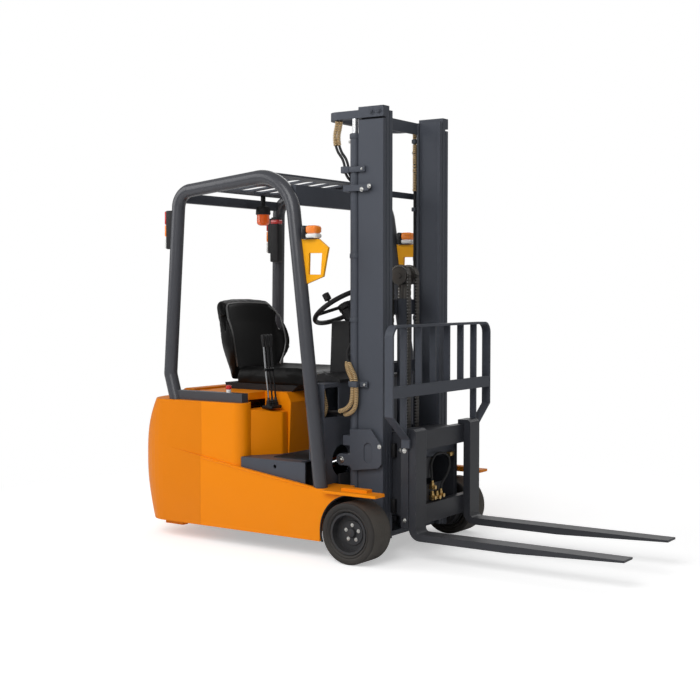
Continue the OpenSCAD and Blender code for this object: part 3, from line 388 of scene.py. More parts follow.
class Paint:
    """All finishes of the truck."""

    ORANGE = Finish("orange_paint", (0.88, 0.255, 0.002), 0.38, grain=Grain.PEEL, grain_scale=420.0,
                    grain_depth=0.0002, mottle=0.05, soft_edge=0.003, dust=0.04, specular=0.14)
    CAST = Finish("orange_casting", (0.77, 0.217, 0.002), 0.4, grain=Grain.CAST, grain_scale=130.0,
                  grain_depth=0.0006, mottle=0.06, soft_edge=0.003, dust=0.05, specular=0.14)
    YELLOW = Finish("yellow_paint", (0.9, 0.4, 0.01), 0.38, grain=Grain.PEEL, grain_scale=420.0,
                    grain_depth=0.0002, mottle=0.05, soft_edge=0.003, specular=0.14)
    CHARCOAL = Finish("charcoal_paint", (0.069, 0.076, 0.093), 0.4, grain=Grain.PEEL, grain_scale=450.0,
                      grain_depth=0.0002, mottle=0.14, soft_edge=0.004, wear=0.1, dust=0.03, specular=0.2)
    GUARD = Finish("guard_paint", (0.058, 0.06, 0.069), 0.24, grain=Grain.PEEL, grain_scale=450.0,
                   grain_depth=0.0001, mottle=0.1, soft_edge=0.003, specular=0.45)
    STEEL_DARK = Finish("dark_steel", (0.028, 0.029, 0.033), 0.46, grain=Grain.CAST, grain_scale=260.0,
                        grain_depth=0.0004, mottle=0.2, soft_edge=0.003, wear=0.15, dust=0.08, specular=0.32)
    FORK = Finish("fork_paint", (0.03, 0.032, 0.039), 0.4, grain=Grain.CAST, grain_scale=190.0,
                  grain_depth=0.0004, mottle=0.18, soft_edge=0.004, wear=0.3, dust=0.06, specular=0.35)
    PLASTIC = Finish("black_plastic", (0.011, 0.011, 0.012), 0.5, grain=Grain.LEATHER, grain_scale=650.0,
                     grain_depth=0.0003, mottle=0.12, soft_edge=0.004, specular=0.3)
    GLOSSY = Finish("gloss_plastic", (0.011, 0.011, 0.012), 0.24, mottle=0.1, soft_edge=0.002, specular=0.4)
    VINYL = Finish("seat_vinyl", (0.0055, 0.0055, 0.0055), 0.36, grain=Grain.LEATHER, grain_scale=420.0,
                   grain_depth=0.0003, mottle=0.14, soft_edge=0.0, specular=0.12)
    # Seat piping: a real bead, but its light grey over the black vinyl is a painted highlight along the
    # back's rim.
    PIPING_HIGHLIGHT = Finish("seat_piping_highlight", (0.09, 0.09, 0.09), 0.3, mottle=0.1, soft_edge=0.0)
    TYRE = Finish("tyre_rubber", (0.058, 0.053, 0.048), 0.74, grain=Grain.RUBBER, grain_scale=220.0,
                  grain_depth=0.0009, mottle=0.22, soft_edge=0.003, dust=0.26, dust_reach=0.45, specular=0.3)
    SIDEWALL = Finish("tyre_sidewall", (0.024, 0.022, 0.021), 0.62, grain=Grain.RUBBER, grain_scale=260.0,
                      grain_depth=0.0004, mottle=0.2, soft_edge=0.0, dust=0.1, dust_reach=0.3, specular=0.3)
    RUBBER = Finish("black_rubber", (0.014, 0.014, 0.0145), 0.58, grain=Grain.RUBBER, grain_scale=350.0,
                    grain_depth=0.0003, mottle=0.15, soft_edge=0.0, specular=0.35)
    CHROME = Finish("hard_chrome", (0.72, 0.73, 0.75), 0.14, 1.0, Grain.BRUSHED, 1400.0, 0.00003, 0.04, 0.0)
    ZINC = Finish("zinc_steel", (0.66, 0.66, 0.64), 0.3, 1.0, Grain.CAST, 500.0, 0.0001, 0.12, 0.001)
    OILED = Finish("oiled_steel", (0.16, 0.15, 0.14), 0.36, 0.9, Grain.CAST, 300.0, 0.0002, 0.3, 0.002)
    BRASS = Finish("brass_fitting", (0.62, 0.42, 0.17), 0.3, 1.0, Grain.CAST, 500.0, 0.0001, 0.14, 0.001)
    SLEEVE = Finish("hose_sleeve", (0.55, 0.38, 0.19), 0.42, grain=Grain.RUBBER, grain_scale=260.0,
                    grain_depth=0.0002, mottle=0.25, soft_edge=0.0)
    AMBER = Finish("amber_lens", (0.85, 0.22, 0.012), 0.12, mottle=0.06, soft_edge=0.003, coat=0.6, glow=0.12)
    FLAME = Finish("flame_lens", (0.85, 0.12, 0.008), 0.12, mottle=0.06, soft_edge=0.003, coat=0.6, glow=0.14)
    # Its glow is lamp light on the lenses; on the battery knob it is a painted glow.
    RED = Finish("red_lens", (0.5, 0.016, 0.012), 0.12, mottle=0.06, soft_edge=0.003, coat=0.6, glow=0.08)
    CLEAR = Finish("clear_lens", (0.78, 0.78, 0.76), 0.14, mottle=0.05, soft_edge=0.003, coat=0.5)
    WHITE = Finish("white_plastic", (0.72, 0.72, 0.7), 0.4, mottle=0.05, soft_edge=0.001)
    # Near-black card that stands for the unlit inside of the cowl opening: painted shade.
    DARK = Finish("painted_shade_inside", (0.006, 0.006, 0.007), 0.7, mottle=0.1, soft_edge=0.0)


def turns(steps: int) -> list[float]:
    """Angles of one full turn in even steps."""
    return [2 * math.pi * i / steps for i in range(steps)]


def stud(radius: float, height: float) -> Profile:
    """Profile of a plain round bar that stands on its base."""
    return [(0.0, 0.0), (radius, 0.0), (radius, height), (0.0, height)]


def fitting(radius: float, height: float) -> Profile:
    """Profile of a hydraulic fitting: a nut with a nipple on it."""
    neck, top = radius - 0.003, height + 0.012
    return [(0.0, 0.0), (radius, 0.0), (radius, height), (neck, height + 0.002), (neck, top), (0.0, top)]


class Shape:
    """Collects solids into one mesh with several finishes."""

    def __init__(self, name: str) -> None:
        """Start an empty piece with that name."""
        self.name = name
        self.mesh = bmesh.new()
        self.finishes: list[Finish] = []

    def paint(self, faces: Iterable[bmesh.types.BMFace], finish: Finish) -> None:
        """Give faces a finish and smooth shading.

        Args:
            faces: The faces.
            finish: Their finish.
        """
        if finish not in self.finishes:
            self.finishes.append(finish)
        index = self.finishes.index(finish)
        for face in faces:
            face.material_index = index
            face.smooth = True

    def take(self, part: bmesh.types.BMesh, finish: Finish, turn: Optional[Matrix] = None) -> "Shape":
        """Merge another mesh into this one, with outward normals.

        Args:
            part: The mesh, which is freed.
            finish: Its finish.
            turn: Matrix that puts it in place, where it isn't there yet.

        Returns:
            This shape.
        """
        bmesh.ops.recalc_face_normals(part, faces=list(part.faces))
        if turn is not None:
            bmesh.ops.transform(part, matrix=turn, verts=list(part.verts))
        copied = bpy.data.meshes.new("part")
        self.paint(part.faces, finish)
        part.to_mesh(copied)
        part.free()
        self.mesh.from_mesh(copied)
        bpy.data.meshes.remove(copied)
        return self

    def block(self, low: Vector, high: Vector, finish: Finish, bevel: float = 0.003,
              segments: int = 2) -> "Shape":
        """Add a box with rounded edges.

        Args:
            low: Lowest corner.
            high: Highest corner.
            finish: Its finish.
            bevel: Edge radius in metres.
            segments: Steps of the rounding.

        Returns:
            This shape.
        """
        middle, span = (low + high) / 2, high - low
        box = bmesh.new()
        place = Matrix.Translation(middle) @ Matrix.Diagonal((*span, 1.0))
        bmesh.ops.create_cube(box, size=1.0, matrix=place)
        if bevel:
            bmesh.ops.bevel(box, geom=list(box.edges), offset=min(bevel, min(span) * 0.45), segments=segments,
                            affect="EDGES", profile=0.5)
        return self.take(box, finish)

    @staticmethod
    def _skin(part: bmesh.types.BMesh, rings: Sequence[list], steps: int, closed: bool = False) -> None:
        """Span faces between rings of points, which may shrink to one point.

        Args:
            part: Mesh that holds the rings.
            rings: The rings in order.
            steps: Points of a full ring.
            closed: Whether the last ring joins the first, or else both ends are capped.
        """
        for below, above in zip(rings, rings[1:] + rings[:1] if closed else rings[1:]):
            for i in range(steps):
                j = (i + 1) % steps
                corners = [below[i % len(below)], below[j % len(below)]]
                corners += [above[j % len(above)], above[i % len(above)]]
                unique = list(dict.fromkeys(corners))
                if len(unique) > 2:
                    part.faces.new(unique)
        for ring in () if closed else (rings[0], rings[-1]):
            if len(ring) > 2:
                part.faces.new(ring)

    def lathe(self, profile: Profile, base: Vector, axis: Vector, finish: Finish, steps: int = 32) -> "Shape":
        """Turn a profile about an axis.

        Args:
            profile: Radius and height of each point, from one end to the other.
            base: Point on the axis where the height is nought.
            axis: Direction of the axis.
            finish: Its finish.
            steps: Facets around.

        Returns:
            This shape.
        """
        part = bmesh.new()
        rings = []
        closed = profile[0] == profile[-1]
        for radius, height in profile[:-1] if closed else profile:
            around = turns(steps) if radius > 1e-6 else [0.0]
            points = [(radius * math.cos(a), radius * math.sin(a), height) for a in around]
            rings.append([part.verts.new(point) for point in points])
        self._skin(part, rings, steps, closed)
        turn = UP.rotation_difference(axis.normalized()).to_matrix().to_4x4()
        return self.take(part, finish, Matrix.Translation(base) @ turn)

    def tube(self, path: Sequence[Vector], radius: float, finish: Finish, steps: int = 12) -> "Shape":
        """Sweep a round section along a path.

        Args:
            path: Points of the centreline.
            radius: Radius of the section.
            finish: Its finish.
            steps: Facets around.

        Returns:
            This shape.
        """
        part = bmesh.new()
        rings = []
        ahead = (path[1] - path[0]).normalized()
        side = ahead.orthogonal().normalized()
        for i, point in enumerate(path):
            before, after = path[max(i - 1, 0)], path[min(i + 1, len(path) - 1)]
            now = (after - before).normalized()
            side = (ahead.rotation_difference(now) @ side).normalized()
            ahead = now
            across = ahead.cross(side)
            spokes = [math.cos(a) * side + math.sin(a) * across for a in turns(steps)]
            rings.append([part.verts.new(point + radius * spoke) for spoke in spokes])
        self._skin(part, rings, steps)
        return self.take(part, finish)

    def done(self, body: Body, replaces: Sequence[str] = ()) -> bpy.types.Object:
        """Make the object and let it ride.

        Args:
            body: Body that carries the piece.
            replaces: Nodes that this piece stands for.

        Returns:
            The finished object.
        """
        return settle(self.plain(), body, replaces)

    def plain(self) -> bpy.types.Object:
        """Make the object without letting it ride yet."""
        obj = to_object(self.name, self.mesh)
        for finish in self.finishes:
            obj.data.materials.append(finish.material())
        obj.data.set_sharp_from_angle(angle=math.radians(38))
        return obj


def settle(obj: bpy.types.Object, body: Body, replaces: Sequence[str] = ()) -> bpy.types.Object:
    """Let a finished object ride on its body.

    Args:
        obj: The object, in place.
        body: Body that carries it.
        replaces: Nodes that it stands for.

    Returns:
        The same object.
    """
    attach(obj, body.value)
    if replaces:
        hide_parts(*replaces)
    LOG.info("%s rides on %s", obj.name, body.value)
    return obj


def smooth_path(points: Sequence[Vector], per_leg: int = 8) -> list[Vector]:
    """Curve through points.

    Args:
        points: Points that the curve passes.
        per_leg: Steps from one point to the next.

    Returns:
        Points along the curve.
    """
    pts = [points[0] * 2 - points[1], *points, points[-1] * 2 - points[-2]]
    out: list[Vector] = []
    for a, b, c, d in zip(pts, pts[1:], pts[2:], pts[3:]):
        for i in range(per_leg):
            t = i / per_leg
            out.append(0.5 * ((2 * b) + (c - a) * t + (2 * a - 5 * b + 4 * c - d) * t ** 2
                              + (3 * b - a - 3 * c + d) * t ** 3))
    out.append(points[-1].copy())
    return out


class Trees:
    """Geometry node trees for what repeats, each built once."""

    @staticmethod
    def start(name: str, sizes: dict[str, float]) -> bpy.types.NodeTree:
        """Start a tree with geometry, named sizes and a material as inputs.

        Args:
            name: Name of the tree.
            sizes: Default of each size by its name.

        Returns:
            The tree, with nodes named "in" and "out".
        """
        tree = bpy.data.node_groups.new(name, "GeometryNodeTree")
        sockets = tree.interface.new_socket
        sockets("Geometry", in_out="INPUT", socket_type="NodeSocketGeometry")
        for label, default in sizes.items():
            sockets(label, in_out="INPUT", socket_type="NodeSocketFloat").default_value = default
        sockets("Finish", in_out="INPUT", socket_type="NodeSocketMaterial")
        sockets("Geometry", in_out="OUTPUT", socket_type="NodeSocketGeometry")
        tree.nodes.new("NodeGroupInput").name = "in"
        tree.nodes.new("NodeGroupOutput").name = "out"
        return tree

    @staticmethod
    def finish(tree: bpy.types.NodeTree, last: bpy.types.Node) -> None:
        """Realize the last node's instances, set their finish and end the tree."""
        real = add_node(tree, "GeometryNodeRealizeInstances")
        dress = add_node(tree, "GeometryNodeSetMaterial")
        wire(tree, (last, 0, real, 0), (real, 0, dress, "Geometry"),
             (tree.nodes["in"], "Finish", dress, "Material"), (dress, 0, tree.nodes["out"], 0))

    @staticmethod
    def run(name: str, mesh: bpy.types.Mesh, tree: bpy.types.NodeTree, values: dict[str, float],
            finish: Finish) -> bpy.types.Object:
        """Run a tree on a mesh and keep the plain result.

        Args:
            name: Name of the piece.
            mesh: Mesh that the tree works on.
            tree: The tree.
            values: Sizes by name.
            finish: Finish of the result.

        Returns:
            An object with a plain mesh.
        """
        carrier = add_object(name + "_carrier", mesh)
        work = carrier.modifiers.new("nodes", "NODES")
        work.node_group = tree
        inputs = {**values, "Finish": finish.material()}
        for item in tree.interface.items_tree:
            if item.in_out == "INPUT" and item.name in inputs:
                work[item.identifier] = inputs[item.name]
        graph = bpy.context.evaluated_depsgraph_get()
        plain = bpy.data.meshes.new_from_object(carrier.evaluated_get(graph))
        bpy.data.objects.remove(carrier)
        plain.name = name
        return add_object(name, plain)

    @staticmethod
    @functools.cache
    def bolts() -> bpy.types.NodeTree:
        """Hexagon heads on washers at points, aimed by the attribute "aim" and sized by "size"."""
        tree = Trees.start("hexagon bolts", {"Across": 0.5, "Head": 0.42, "Washer": 0.85})
        given = tree.nodes["in"]
        head = add_node(tree, "GeometryNodeMeshCylinder", {"Vertices": 6})
        washer = add_node(tree, "GeometryNodeMeshCylinder", {"Vertices": 20, "Depth": 0.14})
        shank = add_node(tree, "GeometryNodeMeshCylinder", {"Vertices": 12, "Radius": 0.27, "Depth": 0.3})
        raise_head = add_node(tree, "GeometryNodeTransform", {"Translation": (0, 0, 0.33)})
        raise_shank = add_node(tree, "GeometryNodeTransform", {"Translation": (0, 0, 0.55)})
        join = add_node(tree, "GeometryNodeJoinGeometry")
        spots = add_node(tree, "GeometryNodeMeshToPoints")
        aim = add_node(tree, "GeometryNodeInputNamedAttribute", {"Name": "aim"}, data_type="FLOAT_VECTOR")
        size = add_node(tree, "GeometryNodeInputNamedAttribute", {"Name": "size"})
        turn = add_node(tree, "FunctionNodeAlignRotationToVector", axis="Z")
        place = add_node(tree, "GeometryNodeInstanceOnPoints")
        wire(
            tree, (given, "Across", head, "Radius"), (given, "Head", head, "Depth"),
            (head, "Mesh", raise_head, "Geometry"), (given, "Washer", washer, "Radius"),
            (shank, "Mesh", raise_shank, "Geometry"), (raise_head, 0, join, 0), (washer, 0, join, 0),
            (raise_shank, 0, join, 0), (given, "Geometry", spots, "Mesh"), (aim, "Attribute", turn, "Vector"),
            (spots, 0, place, "Points"), (join, 0, place, "Instance"), (turn, 0, place, "Rotation"),
            (size, "Attribute", place, "Scale"),
        )
        Trees.finish(tree, place)
        return tree

    @staticmethod
    @functools.cache
    def rings() -> bpy.types.NodeTree:
        """Rings around a path, as the turns of a spiral guard on a hose."""
        tree = Trees.start("spiral guard", {"Radius": 0.012, "Strip": 0.004, "Pitch": 0.014})
        given = tree.nodes["in"]
        line = add_node(tree, "GeometryNodeMeshToCurve")
        even = add_node(tree, "GeometryNodeResampleCurve", mode="LENGTH")
        hoop = add_node(tree, "GeometryNodeCurvePrimitiveCircle", {"Resolution": 14})
        strip = add_node(tree, "GeometryNodeCurvePrimitiveCircle", {"Resolution": 6})
        solid = add_node(tree, "GeometryNodeCurveToMesh")
        lean = add_node(tree, "GeometryNodeTransform", {"Rotation": (0.25, 0, 0)})
        tangent = add_node(tree, "GeometryNodeInputTangent")
        turn = add_node(tree, "FunctionNodeAlignRotationToVector", axis="Z")
        place = add_node(tree, "GeometryNodeInstanceOnPoints")
        wire(
            tree, (given, "Geometry", line, "Mesh"), (line, 0, even, "Curve"),
            (given, "Pitch", even, "Length"), (given, "Radius", hoop, "Radius"),
            (given, "Strip", strip, "Radius"), (hoop, "Curve", solid, "Curve"),
            (strip, "Curve", solid, "Profile Curve"), (solid, 0, lean, "Geometry"),
            (tangent, 0, turn, "Vector"), (even, 0, place, "Points"), (lean, 0, place, "Instance"),
            (turn, 0, place, "Rotation"),
        )
        Trees.finish(tree, place)
        return tree


@dataclass
class BoltField:
    """Bolts of one body."""

    name: str
    body: Body
    finish: Finish = Paint.ZINC
    spots: list[tuple[Vector, Vector, float]] = field(default_factory=list)

    def add(self, spot: Vector, aim: Vector, size: float) -> None:
        """Add one bolt of that size, in metres across, at a spot and facing aim."""
        self.spots.append((spot, aim, size))

    def pair(self, x: float, y: float, z: float, size: float) -> None:
        """Add a bolt that faces outwards on each side, in millimetres from the front axle."""
        for side in SIDES:
            self.add(at(x, side * y, z), Vector((0, side, 0)), size)

    def build(self) -> bpy.types.Object:
        """Make the bolts with the geometry nodes."""
        mesh = bpy.data.meshes.new(self.name + "_spots")
        mesh.from_pydata([spot for spot, _, _ in self.spots], [], [])
        mesh.attributes.new("aim", "FLOAT_VECTOR", "POINT")
        mesh.attributes.new("size", "FLOAT", "POINT")
        for i, (_, direction, width) in enumerate(self.spots):
            mesh.attributes["aim"].data[i].vector = direction
            mesh.attributes["size"].data[i].value = width
        sizes = {"Across": 0.5, "Head": 0.42, "Washer": 0.8}
        obj = Trees.run(self.name, mesh, Trees.bolts(), sizes, self.finish)
        return settle(obj, self.body)


@dataclass
class Hose:
    """A hydraulic hose along a path, partly in a spiral guard.

    Attributes:
        name: Name of the hose.
        route: Points that it passes.
        radius: Its radius in metres.
        guard: Shares of its length at which the spiral guard starts and ends.
        free_steps: Steps of the path at each end that stay with the end's body; not used.
    """

    name: str
    route: list[Vector]
    radius: float = 0.0068
    guard: tuple[float, float] = (0.0, 0.0)
    free_steps: int = 6

    def path(self) -> list[Vector]:
        """Smooth centreline of the hose."""
        return smooth_path(self.route, 8)

    def solid(self, shape: Shape) -> None:
        """Add the rubber tube to a shape."""
        shape.tube(self.path(), self.radius, Paint.RUBBER, 12)

    def stretch(self, obj: bpy.types.Object, first: Body, last: Body) -> None:
        """Bake an object's placement into its mesh.

        Args:
            obj: The object.
            first: Body at the route's start; not used.
            last: Body at its end; not used.
        """
        path = self.path()
        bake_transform(obj)

    def free(self, first: Body, last: Body) -> bpy.types.Object:
        """Make a hose along its route; it rides on a body only when both ends share that body.

        Args:
            first: Body at the route's start.
            last: Body at its end.

        Returns:
            The hose's object.
        """
        path = self.path()
        shape = Shape(self.name)
        self.solid(shape)
        obj = shape.plain()
        if first is last:
            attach(obj, first.value)
        else:
            self.stretch(obj, first, last)
        LOG.info("%s hangs between %s and %s", self.name, first.value, last.value)
        return obj

    def sleeve_line(self) -> list[Vector]:
        """Centreline of the stretch in the spiral guard."""
        path = self.path()
        first, last = (int(share * (len(path) - 1)) for share in self.guard)
        return path[first:last + 1]


def sleeves(name: str, hoses: Sequence[Hose]) -> bpy.types.Object:
    """Spiral guards of several hoses.

    Args:
        name: Name of the piece.
        hoses: Hoses with a guarded stretch.

    Returns:
        The object, not riding yet.
    """
    verts: list[Vector] = []
    edges: list[tuple[int, int]] = []
    for hose in hoses:
        line = hose.sleeve_line()
        edges += [(len(verts) + i, len(verts) + i + 1) for i in range(len(line) - 1)]
        verts += line
    mesh = bpy.data.meshes.new(name + "_lines")
    mesh.from_pydata(verts, edges, [])
    sizes = {"Radius": 0.0088, "Strip": 0.003, "Pitch": 0.0082}
    return Trees.run(name, mesh, Trees.rings(), sizes, Paint.SLEEVE)


@dataclass
class Bodywork:
    """Finishes of the solids that keep their own shape; the rest is charcoal."""

    finishes: dict[Finish, tuple[str, ...]] = field(default_factory=lambda: {
        Paint.CAST: ("counterweight",),
        Paint.ORANGE: ("side_panel_right", "side_panel_left", "hood"),
        Paint.YELLOW: ("lamp_brackets",),
        Paint.GUARD: ("guard_right", "guard_left"),
        Paint.STEEL_DARK: ("battery", "chassis_frame", "drive_units", "rim_right", "rim_left", "rear_rims",
                           "steer_yoke"),
        Paint.PLASTIC: ("steering_column", "seat_base", "steering_wheel"),
        Paint.RUBBER: ("pedals",),
        Paint.CHROME: ("lift_rods", "tilt_rod_right", "tilt_rod_left"),
        Paint.OILED: ("free_head", "lift_chains"),
        Paint.FORK: ("carriage", "fork_right", "fork_left"),
        Paint.TYRE: ("tyre_right", "tyre_left", "rear_tyres"),
    })

    def build(self) -> None:
        """Give every solid its finish."""
        by_node = {node: finish for finish, nodes in self.finishes.items() for node in nodes}
        for name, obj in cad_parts.items():
            mat = by_node.get(name, Paint.CHARCOAL).material()
            for slot in obj.material_slots:
                slot.material = mat


@dataclass
class Seat:
    """Moulded driver's seat with a padded cushion and back.

    Attributes:
        wing: Share across at which the back's wings start.
        rim: Share across at which an edge starts to roll off.
        front_depth: How far the back's front skin lies before its middle, in metres.
        rear_depth: How far its rear skin lies behind its middle.
        grip_place: Shares across and up of the grip slots.
        grip_size: Half width, half height and depth of their cutter.
        voxel: Mesh size of the pads.
        pressure: Pressure that swells them.
        frames: Frames of the swelling.
    """

    wing: float = 0.68
    rim: float = 0.86
    front_depth: float = 0.03
    rear_depth: float = 0.026
    grip_place: tuple[float, float] = (0.86, 0.8)
    grip_size: tuple[float, float, float] = (0.019, 0.045, 0.12)
    voxel: float = 0.006
    pressure: float = 4.0
    frames: int = 20

    @staticmethod
    def _past(share: float, start: float) -> float:
        """How far a share has gone from a start towards one."""
        return max(0.0, (share - start) / (1.0 - start))

    def cushion_shape(self) -> bmesh.types.BMesh:
        """Crowned cushion with raised side bolsters and a rolled front edge."""
        low, high = box_of("seat_cushion")

        def top(u: float, v: float) -> Vector:
            """Upper skin."""
            return self._cushion_point(low, high, u, v)

        def foot(u: float, v: float) -> Vector:
            """Flat underside below the upper skin."""
            return Vector((*top(u, v).xy, low.z))

        return self._pad(top, foot, 26, 26)

    def _cushion_point(self, low: Vector, high: Vector, u: float, v: float) -> Vector:
        """Top of the cushion.

        Args:
            low: Lowest corner of the cushion's solid.
            high: Its highest corner.
            u: Share along, from the rear to the front.
            v: Share across.

        Returns:
            The point.
        """
        s = 2 * v - 1
        taper = 1.0 - 0.07 * u ** 3 - 0.05 * (1 - u) ** 3
        side = abs(s) ** 3
        crown = 0.074 + 0.020 * side - 0.012 * (1 - side) * math.sin(math.pi * u)
        crown -= 0.030 * self._past(u, 0.78) ** 2
        edge = 1.0 - 0.55 * self._past(abs(s), self.rim) ** 2
        return Vector((low.x + (high.x - low.x) * u, s * (high.y - 0.006) * taper, low.z + crown * edge))

    def back_shape(self) -> bmesh.types.BMesh:
        """Wrap-round back with wings, drawn as a front and a rear skin."""
        return self._pad(lambda u, v: self._back_point(2 * v - 1, u, self.front_depth),
                         lambda u, v: self._back_point(2 * v - 1, u, -self.rear_depth), 36, 44)

    def _back_line(self, t: float, u: float) -> Vector:
        """Middle of the back's right half, forward and outward, at shares t across and u up."""
        w = self._past(t, self.wing)
        flat = min(t, self.wing) / self.wing
        reach = 0.1 * (0.15 + 0.85 * math.sin(math.pi * min(1.0, 0.05 + 0.75 * u)))
        rise = min(1.0, u / 0.5)
        half = 0.2 + 0.05 * rise * rise * (3 - 2 * rise)
        outward = half * (0.8 * flat + 0.2 * math.sin(1.4 * w) / 0.985)
        return Vector((0.026 * flat ** 2 + reach * w ** 1.15, outward))

    def _back_frame(self, s: float, u: float) -> tuple[Vector, Vector]:
        """Middle point of the back and its forward direction.

        Args:
            s: Share across, from -1 on the right to 1 on the left.
            u: Share of the height.

        Returns:
            The point and the direction.
        """
        low, high = box_of("seat_back")
        t, side = abs(s), 1 if s >= 0 else -1
        here = self._back_line(t, u)
        along = self._back_line(min(1.0, t + 0.01), u) - self._back_line(max(0.0, t - 0.01), u)
        w = self._past(t, self.wing)
        foot = low.z + 0.01 + 0.05 * w
        z = foot + (high.z - 0.008 - 0.03 * t ** 2.5 - 0.09 * w ** 1.4 - foot) * u
        lean = 0.085 * (z - low.z) / (high.z - low.z)
        point = Vector((high.x - 0.062 - lean + here.x, side * here.y, z))
        return point, Vector((along.y, -side * along.x, 0.0)).normalized()

    def _back_point(self, s: float, u: float, depth: float) -> Vector:
        """Skin of the back at shares s across and u up, that depth before its middle."""
        point, ahead = self._back_frame(s, u)
        roll = math.sqrt(max(0.02, 1.0 - self._past(abs(s), self.rim) ** 2))
        cap = math.sqrt(max(0.02, 1.0 - self._past(u, 0.9) ** 2))
        thin = 1.0 - 0.62 * self._past(abs(s), self.wing)
        lumbar = 0.0
        if depth > 0:
            lumbar = 0.012 * math.sin(math.pi * min(1.0, u * 1.4)) * max(0.0, 1 - (s / 0.7) ** 2)
        return point + ahead * ((depth * thin + lumbar) * roll * cap)

    def grip_cutter(self, side: int) -> bmesh.types.BMesh:
        """Long oval bar that cuts the grip slot through a wing."""
        across_share, up_share = self.grip_place
        point, ahead = self._back_frame(side * across_share, up_share)
        up = self._back_frame(side * across_share, up_share + 0.04)[0] - point
        up = (up - ahead * up.dot(ahead)).normalized()
        wide, tall, deep = self.grip_size
        turn = Matrix((up.cross(ahead) * wide, up * tall, ahead * deep)).transposed().to_4x4()
        mesh = bmesh.new()
        bmesh.ops.create_cone(mesh, cap_ends=True, segments=24, radius1=1.0, radius2=1.0, depth=1.0)
        bmesh.ops.transform(mesh, matrix=Matrix.Translation(point) @ turn, verts=mesh.verts)
        bmesh.ops.recalc_face_normals(mesh, faces=list(mesh.faces))
        return mesh

    def piping(self) -> bpy.types.Object:
        """Piping along the wings and the top of the back, light grey as a painted highlight along the rim."""
        shape = Shape("seat_piping_highlight")
        reach, heights = 0.93, (0.12, 0.3, 0.5, 0.7, 0.86, 0.93)
        edge = [self._back_point(-reach, u, 0.032) for u in heights]
        edge += [self._back_point(-reach + reach / 6 * k, 0.94, 0.034) for k in range(1, 12)]
        edge += [self._back_point(reach, u, 0.032) for u in reversed(heights)]
        # The piping's light grey is a painted highlight along the rim of the back.
        shape.tube(smooth_path(edge, 4), 0.0045, Paint.PIPING_HIGHLIGHT, 8)
        return shape.done(Body.HOOD)

    @staticmethod
    def _pad(front: Skin, rear: Skin, along: int, across: int) -> bmesh.types.BMesh:
        """Closed pad from two skins.

        Args:
            front: Point of the one skin by its two shares.
            rear: Point of the other skin.
            along: Steps of the first share.
            across: Steps of the second share.

        Returns:
            The mesh.
        """
        mesh = bmesh.new()
        skins = [
            [[mesh.verts.new(skin(i / along, j / across)) for j in range(across + 1)]
             for i in range(along + 1)]
            for skin in (front, rear)
        ]
        for rows in skins:
            for i in range(along):
                for j in range(across):
                    mesh.faces.new((rows[i][j], rows[i + 1][j], rows[i + 1][j + 1], rows[i][j + 1]))
        a, b = skins
        rim = [(i, 0) for i in range(along)] + [(along, j) for j in range(across)]
        rim += [(along - i, across) for i in range(along)] + [(0, across - j) for j in range(across)]
        for (i, j), (k, m) in zip(rim, rim[1:] + rim[:1]):
            mesh.faces.new((a[i][j], a[k][m], b[k][m], b[i][j]))
        bmesh.ops.recalc_face_normals(mesh, faces=list(mesh.faces))
        return mesh

    def padded(self, name: str, mesh: bmesh.types.BMesh, node: str, cap: float,
               cutters: Sequence[bmesh.types.BMesh] = ()) -> bpy.types.Object:
        """Swell a pad with the cloth solver and let it ride on the hood.

        Args:
            name: Name of the piece.
            mesh: Closed start shape.
            node: Solid that the pad stands for.
            cap: Most that a point may move, in metres.
            cutters: Closed shapes cut out of the pad first.

        Returns:
            The padded piece.
        """
        obj = to_object(name, mesh)
        for cutter in cutters:
            tool = to_object(name + "_cutter", cutter)
            cut = obj.modifiers.new("cut", "BOOLEAN")
            cut.object = tool
            cut.operation = "DIFFERENCE"
            self._apply(obj)
            bpy.data.objects.remove(tool)
        even = obj.modifiers.new("even", "REMESH")
        even.mode = "VOXEL"
        even.voxel_size = self.voxel
        self._apply(obj)
        self._swell(obj, cap)
        soften = obj.modifiers.new("soften", "SMOOTH")
        soften.iterations = 6
        soften.factor = 0.5
        finer = obj.modifiers.new("finer", "SUBSURF")
        finer.levels = finer.render_levels = 1
        self._apply(obj)
        obj.data.materials.clear()
        obj.data.materials.append(Paint.VINYL.material())
        obj.data.polygons.foreach_set("use_smooth", [True] * len(obj.data.polygons))
        settle(obj, Body.HOOD, [node])
        return obj

    def _swell(self, obj: bpy.types.Object, cap: float) -> None:
        """Blow a pad up a little, with no point below its foot.

        Args:
            obj: The pad.
            cap: Most that a point may move, in metres.
        """
        start = [v.co.copy() for v in obj.data.vertices]
        floor = min(p.z for p in start)
        cloth = obj.modifiers.new("swell", "CLOTH")
        cloth.settings.use_pressure = True
        cloth.settings.uniform_pressure_force = self.pressure
        cloth.settings.effector_weights.gravity = 0.0
        cloth.point_cache.frame_end = self.frames
        scene = bpy.context.scene
        for step in range(1, self.frames + 1):
            scene.frame_set(step)
        self._apply(obj)
        scene.frame_set(1)
        for vert, origin in zip(obj.data.vertices, start):
            move = vert.co - origin
            if move.length > cap:
                move = move.normalized() * cap
            vert.co = origin + move
            vert.co.z = max(vert.co.z, floor)

    @staticmethod
    def _apply(obj: bpy.types.Object) -> None:
        """Apply all modifiers of an object."""
        graph = bpy.context.evaluated_depsgraph_get()
        plain = bpy.data.meshes.new_from_object(obj.evaluated_get(graph))
        obj.modifiers.clear()
        obj.data = plain

    def build(self) -> None:
        """Make the cushion, the back with its grip slots and the piping with its painted highlight."""
        self.padded("seat_cushion_pad", self.cushion_shape(), "seat_cushion", 0.012)
        cutters = [self.grip_cutter(side) for side in SIDES]
        self.padded("seat_back_pad", self.back_shape(), "seat_back", 0.006, cutters)
        self.piping()


